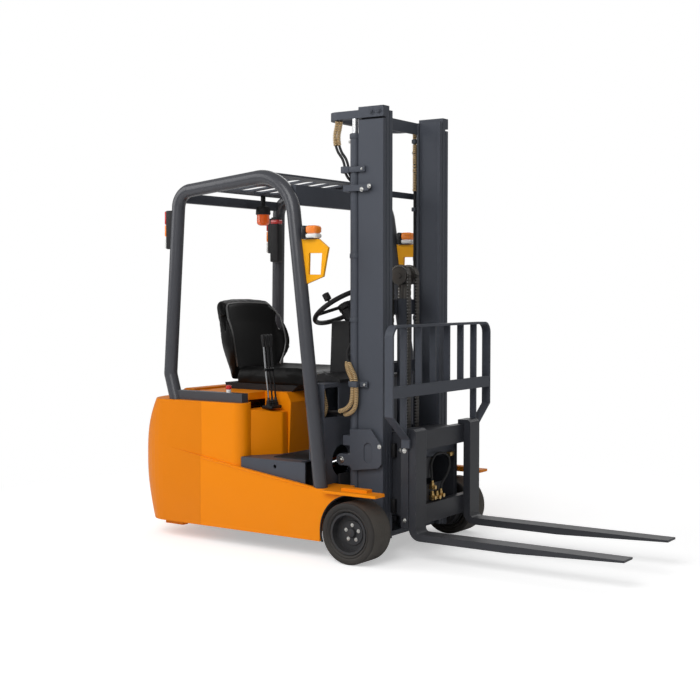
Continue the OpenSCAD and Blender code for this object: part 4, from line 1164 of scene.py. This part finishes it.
@dataclass
class Levers:
    """Three hydraulic levers with grips on their box, in metres."""

    rod_radius: float = 0.0048
    grip_radius: float = 0.011
    spacing: float = 0.030
    foot_in: float = 0.06
    head_in: float = 0.022

    def build(self) -> bpy.types.Object:
        """Make the levers in place of their solid."""
        low, high = box_of("lever_set")
        shape = Shape("lever_bank")
        middle = (low + high) / 2
        foot = Vector((low.x + self.foot_in, middle.y, low.z))
        shape.block(Vector((low.x + 0.024, low.y + 0.002, low.z)),
                    Vector((low.x + 0.092, high.y - 0.002, low.z + 0.016)), Paint.PLASTIC, 0.006, 3)
        boot = [(0.0, 0.0), (0.017, 0.0), (0.0165, 0.008), (0.0125, 0.012), (0.0145, 0.018), (0.0105, 0.022),
                (0.0125, 0.028), (0.008, 0.034), (0.0062, 0.046), (0.0, 0.046)]
        r = self.grip_radius
        grip = [(0.0, -0.066), (r * 0.62, -0.066), (r * 0.8, -0.055), (r * 0.98, -0.03), (r * 1.08, -0.012),
                (r * 0.95, -0.003), (r * 0.6, 0.0), (0.0, 0.0)]
        for i in (-1, 0, 1):
            base = Vector((foot.x, middle.y + self.spacing * i, low.z + 0.012))
            head = Vector((low.x + self.head_in, base.y, high.z - 0.002))
            knee = base.lerp(head, 0.16) + Vector((0.004, 0, 0))
            path = smooth_path([base, knee, base.lerp(head, 0.55), head], 8)
            shape.tube(path, self.rod_radius, Paint.CHROME if i == -1 else Paint.GLOSSY, 12)
            shape.lathe(boot, base, (path[3] - path[0]).normalized(), Paint.RUBBER, 20)
            shape.lathe(grip, head, (path[-1] - path[-4]).normalized(), Paint.PLASTIC, 20)
        clip = foot.lerp(Vector((low.x + self.head_in, middle.y, high.z)), 0.52)
        reach = Vector((0.006, 0.038, 0.009))
        shape.block(clip - reach, clip + reach, Paint.GLOSSY, 0.004, 3)
        return shape.done(Body.CHASSIS, ["lever_set"])


@dataclass
class Lamps:
    """Front lamps, tail lamps and beacon; places are in millimetres, the beacon's cap in metres."""

    front_reach: tuple[float, float] = (416, 478)
    tail_reach: tuple[float, float] = (418, 468)
    rib_step: float = 5
    cap_height: float = 0.063

    def build(self) -> None:
        """Make all the lamps in place of their solids."""
        self.front()
        self.tail()
        self.beacon()
        self.pillar_box()

    def front(self) -> bpy.types.Object:
        """Combination lamps: dark base, amber lens above a clear one."""
        shape = Shape("front_lamp_pair")
        for side in SIDES:
            y0, y1 = sorted(side * y for y in self.front_reach)
            shape.block(at(-338, y0, 1582.5), at(-312, y1, 1650), Paint.GLOSSY, 0.008, 3)
            shape.block(at(-316, y0 + 3, 1583), at(-262, y1 - 3, 1588), Paint.GLOSSY, 0.002)
            shape.block(at(-313, y0 + 2, 1610), at(-247, y1 - 2, 1650), Paint.AMBER, 0.013, 4)
            shape.block(at(-313, y0 + 2, 1586), at(-246, y1 - 2, 1611), Paint.CLEAR, 0.011, 4)
            for k in range(5):
                z = 1617 + self.rib_step * k
                shape.block(at(-302, y0 + 1.2, z), at(-250, y1 - 1.2, z + 1.6), Paint.AMBER, 0.0005, 1)
        return shape.done(Body.CHASSIS, ["front_lamps"])

    def tail(self) -> bpy.types.Object:
        """Tail lamps: dark housing with clear, amber and red lenses to the rear."""
        shape = Shape("tail_lamp_pair")
        lenses = ((1554, 1616, Paint.CLEAR), (1618, 1680, Paint.AMBER), (1682, 1754, Paint.RED))
        for side in SIDES:
            y0, y1 = sorted(side * y for y in self.tail_reach)
            shape.block(at(-1251, y0, 1550), at(-1207, y1, 1757), Paint.PLASTIC, 0.006, 3)
            for z0, z1, lens in lenses:
                shape.block(at(-1263.5, y0 + 3, z0), at(-1248, y1 - 3, z1), lens, 0.006, 3)
                for k in range(1, 5):
                    z = z0 + 12 * k
                    shape.block(at(-1264, y0 + 7, z), at(-1250, y1 - 7, z + 2), lens, 0.0005, 1)
        return shape.done(Body.CHASSIS, ["tail_lamps"])

    def pillar_box(self) -> bpy.types.Object:
        """Dark box with a red lens on the inside of the left rear pillar."""
        shape = Shape("pillar_box")
        shape.block(at(-1192, 364, 1496), at(-1130, 414, 1722), Paint.PLASTIC, 0.008, 3)
        shape.block(at(-1190, 366, 1720), at(-1132, 414, 1746), Paint.RED, 0.008, 3)
        shape.block(at(-1186, 370, 1744), at(-1136, 414, 1760), Paint.PLASTIC, 0.004, 2)
        return shape.done(Body.CHASSIS)

    def beacon(self) -> bpy.types.Object:
        """Warning beacon that hangs on its stem: dark cap and ribbed lens."""
        low, high = box_of("beacon")
        base = Vector(((low.x + high.x) / 2, (low.y + high.y) / 2, low.z))
        cap, top = self.cap_height, high.z - low.z
        shape = Shape("beacon_lamp")
        hood = [(0.0, cap), (0.041, cap), (0.043, cap + 0.005), (0.041, cap + 0.03), (0.032, cap + 0.046),
                (0.016, cap + 0.051), (0.014, cap + 0.056), (0.014, top), (0.0, top)]
        shape.lathe(hood, base, UP, Paint.PLASTIC, 40)
        lens = [(0.0, 0.0), (0.02, 0.001), (0.031, 0.006), (0.036, 0.014)]
        for k in range(5):
            lens += [(0.037, 0.018 + 0.008 * k), (0.0357, 0.022 + 0.008 * k)]
        shape.lathe([*lens, (0.037, cap), (0.0, cap)], base, UP, Paint.FLAME, 40)
        return shape.done(Body.CHASSIS, ["beacon"])


@dataclass
class Wheels:
    """Cushion tyres, hub caps and nuts, in metres, with places in millimetres."""

    front_radius: float = 0.152
    half_width: float = 0.0825
    rim_radius: float = 0.103
    track_y: float = 477.5
    axle_z: float = 152
    hub_y: float = 515
    nuts: int = 5
    nut_circle: float = 38
    rear_radius: float = 0.125
    rear_half_width: float = 0.0475
    rear_x: float = -1190
    rim_gap: float = 0.0003

    def build(self) -> None:
        """Make the tyres and the hub parts."""
        for side, body, name in ((-1, Body.WHEEL_RIGHT, "right"), (1, Body.WHEEL_LEFT, "left")):
            self.tyre(side, body, f"tyre_{name}")
            self.hub(side, body, name)
        self.rear()

    @staticmethod
    def tyre_profile(outer: float, rim: float, half: float) -> list[tuple[float, float]]:
        """Closed section with half-moon shoulders, a sidewall ring and a tread with fine ribs.

        Args:
            outer: Radius of the tread.
            rim: Radius of the bore.
            half: Half the width.

        Returns:
            Radius and place across of each point.
        """
        wall = [(rim, -half + 0.012), (rim + 0.006, -half + 0.004), (rim + 0.012, -half + 0.001),
                (rim + 0.017, -half + 0.004), (rim + 0.021, -half + 0.001), (outer - 0.02, -half)]
        shoulder = [(outer - 0.012 + 0.012 * math.sin(a), -half + 0.014 - 0.014 * math.cos(a))
                    for a in (math.radians(d) for d in (20, 40, 60, 78))]
        side = wall + shoulder
        dip = outer - 0.0006
        tread = []
        for k in range(-4, 5):
            y = k * half / 5.6
            tread += [(outer, y - 0.004), (dip, y - 0.001), (dip, y + 0.001), (outer, y + 0.004)]
        return side + tread + [(r, -h) for r, h in reversed(side)] + side[:1]

    def tyre(self, side: int, body: Body, node: str) -> bpy.types.Object:
        """One front tyre in place of its solid.

        Args:
            side: -1 on the right, 1 on the left.
            body: Wheel that carries it.
            node: Solid that it stands for.

        Returns:
            The finished tyre.
        """
        shape = Shape(node + "_rubber")
        profile = self.tyre_profile(self.front_radius, self.rim_radius, self.half_width)
        middle = at(0, side * self.track_y, self.axle_z)
        shape.lathe(profile, middle, Vector((0, side, 0)), Paint.TYRE, 96)
        wall = self.half_width - 0.011
        walls = [f for f in shape.mesh.faces if abs(f.calc_center_median().y - middle.y) > wall]
        shape.paint(walls, Paint.SIDEWALL)
        return shape.done(body, [node])

    def hub(self, side: int, body: Body, name: str) -> None:
        """Nuts, hub cap and ring of one front wheel.

        Args:
            side: -1 on the right, 1 on the left.
            body: Wheel that carries them.
            name: Word for the side.
        """
        shape = Shape(f"hub_cap_{name}")
        out = Vector((0, side, 0))
        cap = [(0.0, 0.0), (0.023, 0.0), (0.023, 0.008), (0.02, 0.014), (0.01, 0.017), (0.0, 0.0175)]
        ring = [(0.088, 0.0), (0.1, 0.0), (0.1025, 0.012), (0.1025, 0.036), (0.099, 0.04), (0.096, 0.036),
                (0.0955, 0.014), (0.088, 0.004), (0.088, 0.0)]
        shape.lathe(cap, at(0, side * self.hub_y, self.axle_z), out, Paint.STEEL_DARK, 28)
        shape.lathe(ring, at(0, side * (self.hub_y - 6), self.axle_z), out, Paint.STEEL_DARK, 64)
        shape.done(body)
        nuts = BoltField(f"wheel_nuts_{name}", body)
        for k in range(self.nuts):
            a = math.radians(360 / self.nuts * k + 18)
            x, z = self.nut_circle * math.cos(a), self.axle_z + self.nut_circle * math.sin(a)
            nuts.add(at(x, side * (self.hub_y + 0.5), z), out, 0.0115)
        nuts.build()

    def rear(self) -> bpy.types.Object:
        """Twin steered tyres in place of their solids."""
        shape = Shape("rear_tyre_rubber")
        low, high = box_of("rear_tyres")
        rim_low, rim_high = box_of("rear_rims")
        inner = (high.y - low.y) / 2 - self.rear_half_width
        bore = (rim_high.z - rim_low.z) / 2 + self.rim_gap
        profile = self.tyre_profile(self.rear_radius, bore, self.rear_half_width)
        for side in SIDES:
            middle = at(self.rear_x, side * inner * 1000, self.rear_radius * 1000)
            shape.lathe(profile, middle, Vector((0, side, 0)), Paint.TYRE, 72)
        return shape.done(Body.REAR_WHEELS, ["rear_tyres"])


@dataclass
class MastHoses:
    """Hoses of the mast, in millimetres: a pair on the right, free at its ends, and one on the left."""

    pair_step: float = 14
    left_x: float = -116
    left_y: float = 246

    def build(self) -> None:
        """Make the hoses, their spiral guards and their clamps."""
        self.top_loops()
        self.fixed_run()
        self.cowl_loops()
        self.left_run()
        self.clamps()

    @staticmethod
    def loops(hoses: Sequence[Hose], sleeve_name: str, first: Body, last: Body) -> None:
        """Make hoses with their guards along routes between two bodies.

        Args:
            hoses: The hoses.
            sleeve_name: Name of the guards' piece.
            first: Body at the routes' start.
            last: Body at their end.
        """
        for hose in hoses:
            hose.free(first, last)
        guard = sleeves(sleeve_name, hoses)
        hoses[0].stretch(guard, first, last)

    def top_loops(self) -> None:
        """Loops from the upper clamp to the bowed top tie."""
        points = ((-178, -322, 1925), (-180, -321, 1952), (-196, -317, 1986), (-226, -311, 2022),
                  (-246, -305, 2064), (-251, -301, 2106), (-244, -299, 2144), (-236, -299, 2183))
        hoses = []
        for k in range(2):
            shift = self.pair_step * k
            shifted = route(*((x + shift, y + 0.8 * shift, z) for x, y, z in points))
            hoses.append(Hose(f"top_hose_{k + 1}", shifted, guard=(0.56, 0.98)))
        self.loops(hoses, "top_sleeves", Body.OUTER, Body.MIDDLE)

    def fixed_run(self) -> None:
        """Clamped stretch behind the lift cylinder."""
        shape = Shape("mast_hoses")
        first = route((-178, -322, 1925), (-172, -306, 1895), (-160, -284, 1868), (-155, -272, 1840),
                      (-155, -272, 1400), (-155, -272, 1060), (-166, -286, 1010), (-168, -314, 970),
                      (-146, -340, 930), (-119, -348, 890), (-112, -348, 860))
        second = route((-164, -311, 1925), (-162, -290, 1895), (-157, -268, 1868), (-155, -252, 1840),
                       (-155, -252, 1400), (-155, -252, 1120), (-164, -268, 1080), (-169, -296, 1040),
                       (-160, -326, 1000), (-128, -346, 950), (-98, -348, 900), (-92, -348, 860))
        hoses = [Hose("run_1", first, guard=(0.72, 1.0)), Hose("run_2", second, guard=(0.8, 1.0))]
        for hose in hoses:
            hose.solid(shape)
        shape.done(Body.OUTER)
        settle(sleeves("run_sleeves", hoses), Body.OUTER)

    def cowl_loops(self) -> None:
        """Loops from the opening of the cowl to the lower clamp."""
        first = route((-288, -364, 720), (-236, -363, 719), (-186, -360, 722), (-146, -357, 736),
                      (-119, -354, 764), (-111, -351, 812), (-112, -348, 860))
        second = route((-284, -336, 706), (-226, -336, 704), (-170, -338, 705), (-126, -340, 718),
                       (-99, -343, 750), (-91, -346, 806), (-92, -348, 860))
        hoses = [Hose(f"cowl_hose_{k}", line, guard=(0.36, 1.0)) for k, line in ((1, first), (2, second))]
        self.loops(hoses, "cowl_loop_sleeves", Body.CHASSIS, Body.OUTER)

    def left_run(self) -> None:
        """Clamped hose behind the left rails of the middle stage."""
        shape = Shape("left_hose")
        x, y = self.left_x, self.left_y
        hose = Hose("left_run", route(*((x, y, z) for z in (2186, 2000, 1700, 1360))), guard=(0.02, 0.5))
        hose.solid(shape)
        for z in (2120, 1760, 1400):
            shape.block(at(x - 12, y - 14, z - 11), at(x + 12, y + 18, z + 11), Paint.CHARCOAL, 0.003)
        shape.done(Body.MIDDLE)
        settle(sleeves("left_sleeve", [hose]), Body.MIDDLE)

    def clamps(self) -> None:
        """Clamp blocks with their straps to the rail."""
        shape = Shape("hose_clamps")
        bolts = BoltField("hose_clamp_bolts", Body.OUTER)
        shape.block(at(-194, -336, 1911), at(-146, -304, 1945), Paint.CHARCOAL, 0.004)
        shape.block(at(-126, -363, 845), at(-78, -330, 875), Paint.CHARCOAL, 0.004)
        for z, bolt_x in ((1928, -67), (860, -50)):
            shape.block(at(-150, -332, z - 14), at(bolt_x + 15, -326.2, z + 14), Paint.CHARCOAL, 0.002)
            shape.block(at(bolt_x - 20, -327, z - 14), at(bolt_x + 15, -316, z + 14), Paint.CHARCOAL, 0.002)
            bolts.add(at(bolt_x, -331, z), Vector((0, -1, 0)), 0.013)
        shape.done(Body.OUTER)
        bolts.build()


@dataclass
class MastDetail:
    """Bolts, collars and chains of the mast.

    Attributes:
        barrel: Place of the lift cylinders along and across, in millimetres.
        pin: Place of the tilt pins' ends along, across and up, in millimetres.
        chain_y: Half the distance of the two chains, in metres.
        chain_pitch: Pitch of a chain, in millimetres.
        chain_top: Height at which the chains meet the sheaves, in millimetres.
        run_in: How far the chains' middle lies inside their solid, in metres.
        bend_links: Links of a chain around its sheave.
    """

    barrel: tuple[float, float] = (-128, 302)
    pin: tuple[float, float, float] = (-187, 340, 477)
    chain_y: float = 0.04
    chain_pitch: float = 15.5
    chain_top: float = 1402
    run_in: float = 0.006
    bend_links: int = 17

    def build(self) -> None:
        """Make every small part of the mast."""
        self.bolts()
        self.collars()
        self.chains()
        self.free_port()

    def bolts(self) -> None:
        """Bolts of the outer and middle stages."""
        outer = BoltField("outer_mast_bolts", Body.OUTER)
        for x, z in ((-64, 1826), (-20, 1840), (42, 556)):
            outer.pair(x, 340, z, 0.014)
        outer.build()
        middle = BoltField("mast_head_bolts", Body.MIDDLE, Paint.CHARCOAL)
        for x in (-19, 24):
            middle.pair(x, 316.5, 2206, 0.019)
        middle.build()

    def collars(self) -> None:
        """Glands of the lift cylinders, their bleed screws and the tilt pins' ends."""
        shape = Shape("cylinder_collars")
        gland = [(0.0, -0.012), (0.0262, -0.012), (0.0275, -0.009), (0.0275, 0.009), (0.0262, 0.012),
                 (0.0, 0.012)]
        pin_end = [(0.0, 0.0), (0.017, 0.0), (0.017, 0.004), (0.015, 0.006), (0.0, 0.006)]
        nipple = [(0.0, 0.006), (0.006, 0.006), (0.006, 0.012), (0.0, 0.013)]
        x, y = self.barrel
        pin_x, pin_y, pin_z = self.pin
        for side in SIDES:
            out = Vector((0, side, 0))
            for z in (2093, 1500, 1180):
                shape.lathe(gland, at(x, side * y, z), UP, Paint.CHARCOAL, 32)
            shape.lathe(stud(0.007, 0.012), at(x - 24, side * y, 2068), -AHEAD, Paint.ZINC, 12)
            shape.lathe(pin_end, at(pin_x, side * pin_y, pin_z), out, Paint.ZINC, 28)
            shape.lathe(nipple, at(pin_x, side * pin_y, pin_z), out, Paint.ZINC, 6)
        shape.done(Body.OUTER)

    def chains(self) -> None:
        """Leaf chains over the crosshead's sheaves, in place of their solid."""
        low, high = box_of("lift_chains")
        front_x, rear_x = high.x - self.run_in, low.x + self.run_in
        top, rear_foot = self.chain_top / 1000, 0.96
        front = self._run("lift_chain_front", front_x, 505)
        front = settle(front, Body.FREE_LIFT, ["lift_chains"])
        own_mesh(front)
        rear = self._run("lift_chain_rear", rear_x, rear_foot * 1000)
        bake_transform(rear)
        shape = Shape("lift_chain_bend")
        centre, radius = (low.x + high.x) / 2, (high.x - low.x) / 2 - self.run_in
        for y in (-self.chain_y, self.chain_y):
            for k in range(self.bend_links):
                a = math.pi * (k + 0.5) / self.bend_links
                spot = Vector((centre + radius * math.cos(a), y, top + radius * math.sin(a)))
                self._link(shape, spot, math.pi / 2 + a, k)
        shape.done(Body.FREE_LIFT)

    def _run(self, name: str, x: float, foot: float) -> bpy.types.Object:
        """Straight run of both chains.

        Args:
            name: Name of the run.
            x: Its place along the truck, in metres.
            foot: Height of its lower end, in millimetres.

        Returns:
            The object, not riding yet.
        """
        shape = Shape(name)
        tall = self.chain_top - foot
        count = int(tall / self.chain_pitch)
        for y in (-self.chain_y, self.chain_y):
            for k in range(count):
                z = (foot + tall * (k + 0.5) / count) / 1000
                self._link(shape, Vector((x, y, z)), math.pi / 2, k)
        return shape.plain()

    @staticmethod
    def _link(shape: Shape, spot: Vector, angle: float, k: int) -> None:
        """One row of plates with its pin.

        Args:
            shape: Shape that gets them.
            spot: Middle of the link.
            angle: Direction of the run.
            k: Number of the link, even or odd for inner or outer plates.
        """
        turn = Matrix.Translation(spot) @ Matrix.Rotation(-angle, 4, "Y")
        plate = Matrix.Diagonal((0.022, 0.003, 0.0115, 1))
        for y in (-0.0115, -0.004, 0.004, 0.0115) if k % 2 else (-0.008, 0.0, 0.008):
            part = bmesh.new()
            bmesh.ops.create_cube(part, size=1.0, matrix=Matrix.Translation((0, y, 0)) @ plate)
            shape.take(part, Paint.OILED, turn)
        across = Matrix.Translation((0.0075, 0, 0)) @ Matrix.Rotation(math.pi / 2, 4, "X")
        pin = bmesh.new()
        bmesh.ops.create_cone(pin, cap_ends=True, segments=8, radius1=0.0032, radius2=0.0032, depth=0.03,
                              matrix=across)
        shape.take(pin, Paint.ZINC, turn)

    @staticmethod
    def free_port() -> None:
        """Port block at the foot of the free-lift cylinder."""
        shape = Shape("free_lift_port")
        shape.block(at(10, -46, 150), at(44, -4, 214), Paint.CHARCOAL, 0.004)
        shape.block(at(-30, -40, 150), at(12, -10, 190), Paint.CHARCOAL, 0.003)
        for z in (166, 198):
            shape.lathe(fitting(0.011, 0.014), at(44, -25, z), AHEAD, Paint.BRASS, 6)
        shape.done(Body.INNER)


@dataclass
class DriverPlace:
    """Mats, knob, hoses in the cowl and bolts around the driver; places are in millimetres."""

    mat_reach: tuple[float, float] = (95, 420)
    mat_ribs: int = 21
    rib_step: float = 10.2
    hose_y: float = -414
    hose_step: float = 22

    def build(self) -> None:
        """Make the pieces of the driver's place."""
        self.mats()
        self.cowl_hoses()
        self.small_parts()

    def mats(self) -> bpy.types.Object:
        """Ribbed rubber mats on both sides of the column."""
        shape = Shape("floor_mats")
        for side in SIDES:
            y0, y1 = sorted(side * y for y in self.mat_reach)
            shape.block(at(-556, y0, 470.2), at(-335, y1, 474), Paint.RUBBER, 0.0015, 1)
            for k in range(self.mat_ribs):
                x = -550 + self.rib_step * k
                shape.block(at(x, y0 + 6, 473.8), at(x + 5, y1 - 6, 476.2), Paint.RUBBER, 0.001, 1)
        return shape.done(Body.CHASSIS)

    def cowl_hoses(self) -> None:
        """Guarded hoses that pass the opening of the cowl, in front of a near-black sheet of painted shade.
        """
        hoses = []
        shape = Shape("cowl_hoses")
        for k in range(2):
            y = self.hose_y + self.hose_step * k
            line = route((-262, y - 2, 836), (-258, y, 806), (-252, y + 4, 772), (-250, y + 8, 738),
                         (-262, y + 12, 706), (-284, y + 14, 676))
            hoses.append(Hose(f"cowl_line_{k + 1}", line, guard=(0.02, 0.86)))
            hoses[-1].solid(shape)
        # Near-black sheet behind the hoses: painted shade of the cowl opening's inside.
        shape.block(at(-312, -426, 692), at(-306, -300, 838), Paint.DARK, 0.0)
        shape.done(Body.CHASSIS)
        settle(sleeves("cowl_sleeves", hoses), Body.CHASSIS)

    @staticmethod
    def small_parts() -> None:
        """Battery switch knob and the cowl's side bolts."""
        shape = Shape("battery_knob")
        foot = at(-819, -462, 793)
        collar = [(0.0, 0.0), (0.013, 0.0), (0.013, 0.016), (0.01, 0.018), (0.0, 0.018)]
        knob = [(0.0, 0.017), (0.012, 0.017), (0.016, 0.022), (0.016, 0.034), (0.012, 0.039), (0.0, 0.04)]
        shape.lathe(collar, foot, UP, Paint.WHITE, 20)
        # The red finish glows faintly, which gives the knob a painted glow though it is no lamp.
        shape.lathe(knob, foot, UP, Paint.RED, 20)
        shape.done(Body.CHASSIS)
        bolts = BoltField("cowl_bolts", Body.CHASSIS, Paint.CHARCOAL)
        bolts.pair(-261, 480.2, 577, 0.016)
        bolts.build()


@dataclass
class Carriage:
    """Bolts, slide blocks and couplings of the fork carriage; places are in millimetres."""

    slide_reach: tuple[float, float] = (226, 250)
    plate_x: float = 171
    hose_radius: float = 0.0062

    def build(self) -> None:
        """Make the carriage's small parts."""
        bolts = BoltField("carriage_bolts", Body.CARRIAGE)
        for z in (203, 545):
            bolts.pair(180, 328, z, 0.015)
        bolts.pair(96, 226.5, 531, 0.015)
        bolts.build()
        shape = Shape("slide_blocks")
        for side in SIDES:
            y0, y1 = sorted(side * y for y in self.slide_reach)
            for z in (250, 530):
                shape.block(at(52, y0, z - 35), at(74, y1, z + 35), Paint.PLASTIC, 0.003)
        shape.done(Body.CARRIAGE)
        self.couplings()

    def couplings(self) -> None:
        """Cross rail, valve plate with brass couplings and the hose between them."""
        face = self.plate_x
        plate = Shape("coupling_plate")
        plate.block(at(146, -197, 482), at(160, 197, 536), Paint.CHARCOAL, 0.006, 3)
        plate.block(at(face - 8, -110, 258), at(face, 60, 350), Paint.STEEL_DARK, 0.003)
        plate.block(at(face - 8, -112, 380), at(face, -50, 486), Paint.STEEL_DARK, 0.003)
        plate.done(Body.CARRIAGE)
        shape = Shape("brass_couplings")
        for y, z, tall in ((-66, 268, 46), (-66, 322, 42), (-20, 268, 34), (18, 272, 40)):
            shape.block(at(face, y - 13, z), at(face + 24, y + 13, z + tall * 0.55), Paint.BRASS, 0.003)
            shape.lathe(fitting(0.012, 0.012), at(face + 12, y, z + tall * 0.5), UP, Paint.BRASS, 6)
            shape.lathe(stud(0.011, 0.01), at(face + 24, y, z + tall * 0.28), AHEAD, Paint.BRASS, 6)
        shape.block(at(160, 118, 470), at(184, 158, 492), Paint.BRASS, 0.003)
        shape.done(Body.CARRIAGE)
        loop = route((183, 18, 306), (184, 36, 346), (186, 80, 384), (186, 106, 430), (184, 92, 474),
                     (180, 40, 496), (178, -28, 492), (178, -66, 450), (181, -68, 398), (183, -66, 352))
        Hose("coupling_hose", loop, self.hose_radius).free(Body.CARRIAGE, Body.CARRIAGE)


@dataclass
class BodyTrim:
    """Beads and lips along the edges of the side panels, in millimetres."""

    side_y: float = 530.0
    arch_radius: float = 182.0
    axle_z: float = 152.0

    @staticmethod
    def crease(x: float) -> float:
        """Height of the skirt's upper edge, in millimetres."""
        return 414 + (-662 - x) * 77 / 520 if x < -662 else 351 + (-179 - x) * 63 / 483

    def build(self) -> bpy.types.Object:
        """Make the beads and the dark arch lips."""
        shape = Shape("skirt_trim")
        angles = [math.radians(200 - 5 * k) for k in range(21)]
        r = self.arch_radius
        for side in SIDES:
            bead_y, arch_y = side * (self.side_y - 0.5), side * (self.side_y - 5)
            bead = route(*((x, bead_y, self.crease(x) - 9) for x in (-956, -800, -662, -450, -250)))
            arch = route(*((r * math.cos(a), arch_y, self.axle_z + r * math.sin(a)) for a in angles))
            shape.tube(bead, 0.0035, Paint.ORANGE, 10)
            shape.tube(arch, 0.005, Paint.RUBBER, 10)
        return shape.done(Body.CHASSIS)


@dataclass
class Studio:
    """Camera, floor and light, in metres, degrees and watts."""

    place: tuple[float, float, float] = (3.4585, -5.465, 1.323)
    turn_deg: tuple[float, float, float] = (87.3, 0.0, 34.4)
    lens: float = 64.0
    sensor: float = 36.0
    floor_half: float = 40.0
    floor_tone: float = 0.86
    floor_lift: float = 0.42
    fade_from: float = 1.9
    fade_to: float = 3.2
    world_light: float = 0.36

    def build(self) -> None:
        """Set the camera, the pale floor, the lamps and the world."""
        scene = bpy.context.scene
        scene.view_settings.view_transform = "Standard"
        lens = bpy.data.cameras.new("photo_view")
        lens.lens = self.lens
        lens.sensor_width = self.sensor
        lens.clip_end = 200.0
        camera = add_object("photo_view", lens)
        camera.location = self.place
        camera.rotation_euler = [math.radians(a) for a in self.turn_deg]
        scene.camera = camera
        self._floor()
        self._world()
        self._lamp("key", (1.0, -6.0, 5.0), (-0.1, 0.0, 0.8), 4.5, 265.0)
        self._lamp("side", (-5.0, -3.6, 3.6), (-0.3, 0.0, 0.9), 4.0, 110.0)
        self._lamp("back", (-1.5, 5.5, 5.0), (0.0, 0.0, 1.0), 5.0, 120.0)

    def _floor(self) -> None:
        """Wide pale floor that takes the truck's shadow and fades to white around it."""
        data = bpy.data.meshes.new("studio_floor")
        s = self.floor_half
        data.from_pydata([(-s, -s, 0), (s, -s, 0), (s, s, 0), (-s, s, 0)], [], [(0, 1, 2, 3)])
        floor = add_object("studio_floor", data)
        mat = bpy.data.materials.new("pale_floor")
        mat.use_nodes = True
        tree = mat.node_tree
        tree.nodes.clear()
        result = add_node(tree, "ShaderNodeOutputMaterial")
        matte = add_node(tree, "ShaderNodeBsdfDiffuse", {"Color": (*[self.floor_tone] * 3, 1.0)})
        white = add_node(tree, "ShaderNodeEmission")
        near = add_node(tree, "ShaderNodeAddShader")
        lift = add_node(tree, "ShaderNodeEmission")
        path = add_node(tree, "ShaderNodeLightPath")
        gain = add_node(tree, "ShaderNodeMath", {1: self.floor_lift}, operation="MULTIPLY")
        place = add_node(tree, "ShaderNodeTexCoord")
        reach = add_node(tree, "ShaderNodeVectorMath", operation="LENGTH")
        fade = add_node(tree, "ShaderNodeMapRange", {"From Min": self.fade_from, "From Max": self.fade_to},
                        interpolation_type="SMOOTHSTEP")
        share = add_node(tree, "ShaderNodeMath", operation="MULTIPLY")
        mix = add_node(tree, "ShaderNodeMixShader")
        wire(
            tree, (path, "Is Camera Ray", gain, 0), (gain, 0, lift, "Strength"), (matte, 0, near, 0),
            (lift, 0, near, 1), (place, "Object", reach, 0), (reach, "Value", fade, "Value"),
            (fade, "Result", share, 0), (path, "Is Camera Ray", share, 1), (share, 0, mix, 0),
            (near, 0, mix, 1), (white, 0, mix, 2), (mix, 0, result, "Surface"),
        )
        data.materials.append(mat)

    def _world(self) -> None:
        """White surround to the camera and through clear things, softer as a light."""
        world = bpy.data.worlds.new("studio_world")
        bpy.context.scene.world = world
        world.use_nodes = True
        tree = world.node_tree
        shade = tree.nodes["Background"]
        shade.inputs["Color"].default_value = (1.0, 1.0, 1.0, 1.0)
        path = add_node(tree, "ShaderNodeLightPath")
        top = add_node(tree, "ShaderNodeMath", operation="MAXIMUM")
        strength = add_node(tree, "ShaderNodeMapRange", {"To Min": self.world_light, "To Max": 1.0})
        wire(tree, (path, "Is Camera Ray", top, 0), (path, "Is Transmission Ray", top, 1),
             (top, 0, strength, "Value"), (strength, "Result", shade, "Strength"))

    @staticmethod
    def _lamp(name: str, place: tuple[float, float, float], aim: tuple[float, float, float], size: float,
              power: float) -> None:
        """Add one soft area lamp.

        Args:
            name: Name of the lamp.
            place: Where it stands.
            aim: Point that it faces.
            size: Edge length in metres.
            power: Power in watts.
        """
        data = bpy.data.lights.new(name, "AREA")
        data.size = size
        data.energy = power
        lamp = add_object(name, data)
        lamp.location = place
        away = Vector(place) - Vector(aim)
        lamp.rotation_euler = away.to_track_quat("Z", "Y").to_euler()


def main() -> None:
    """Build the truck's looks in order."""
    logging.basicConfig(level=logging.INFO, format="%(name)s %(message)s")
    parts = (Studio(), Bodywork(), MastHoses(), MastDetail(), BodyTrim(), Wheels(), Lamps(), Levers(),
             DriverPlace(), Carriage(), Seat())
    for part in parts:
        part.build()


if __name__ == "__main__":
    main()
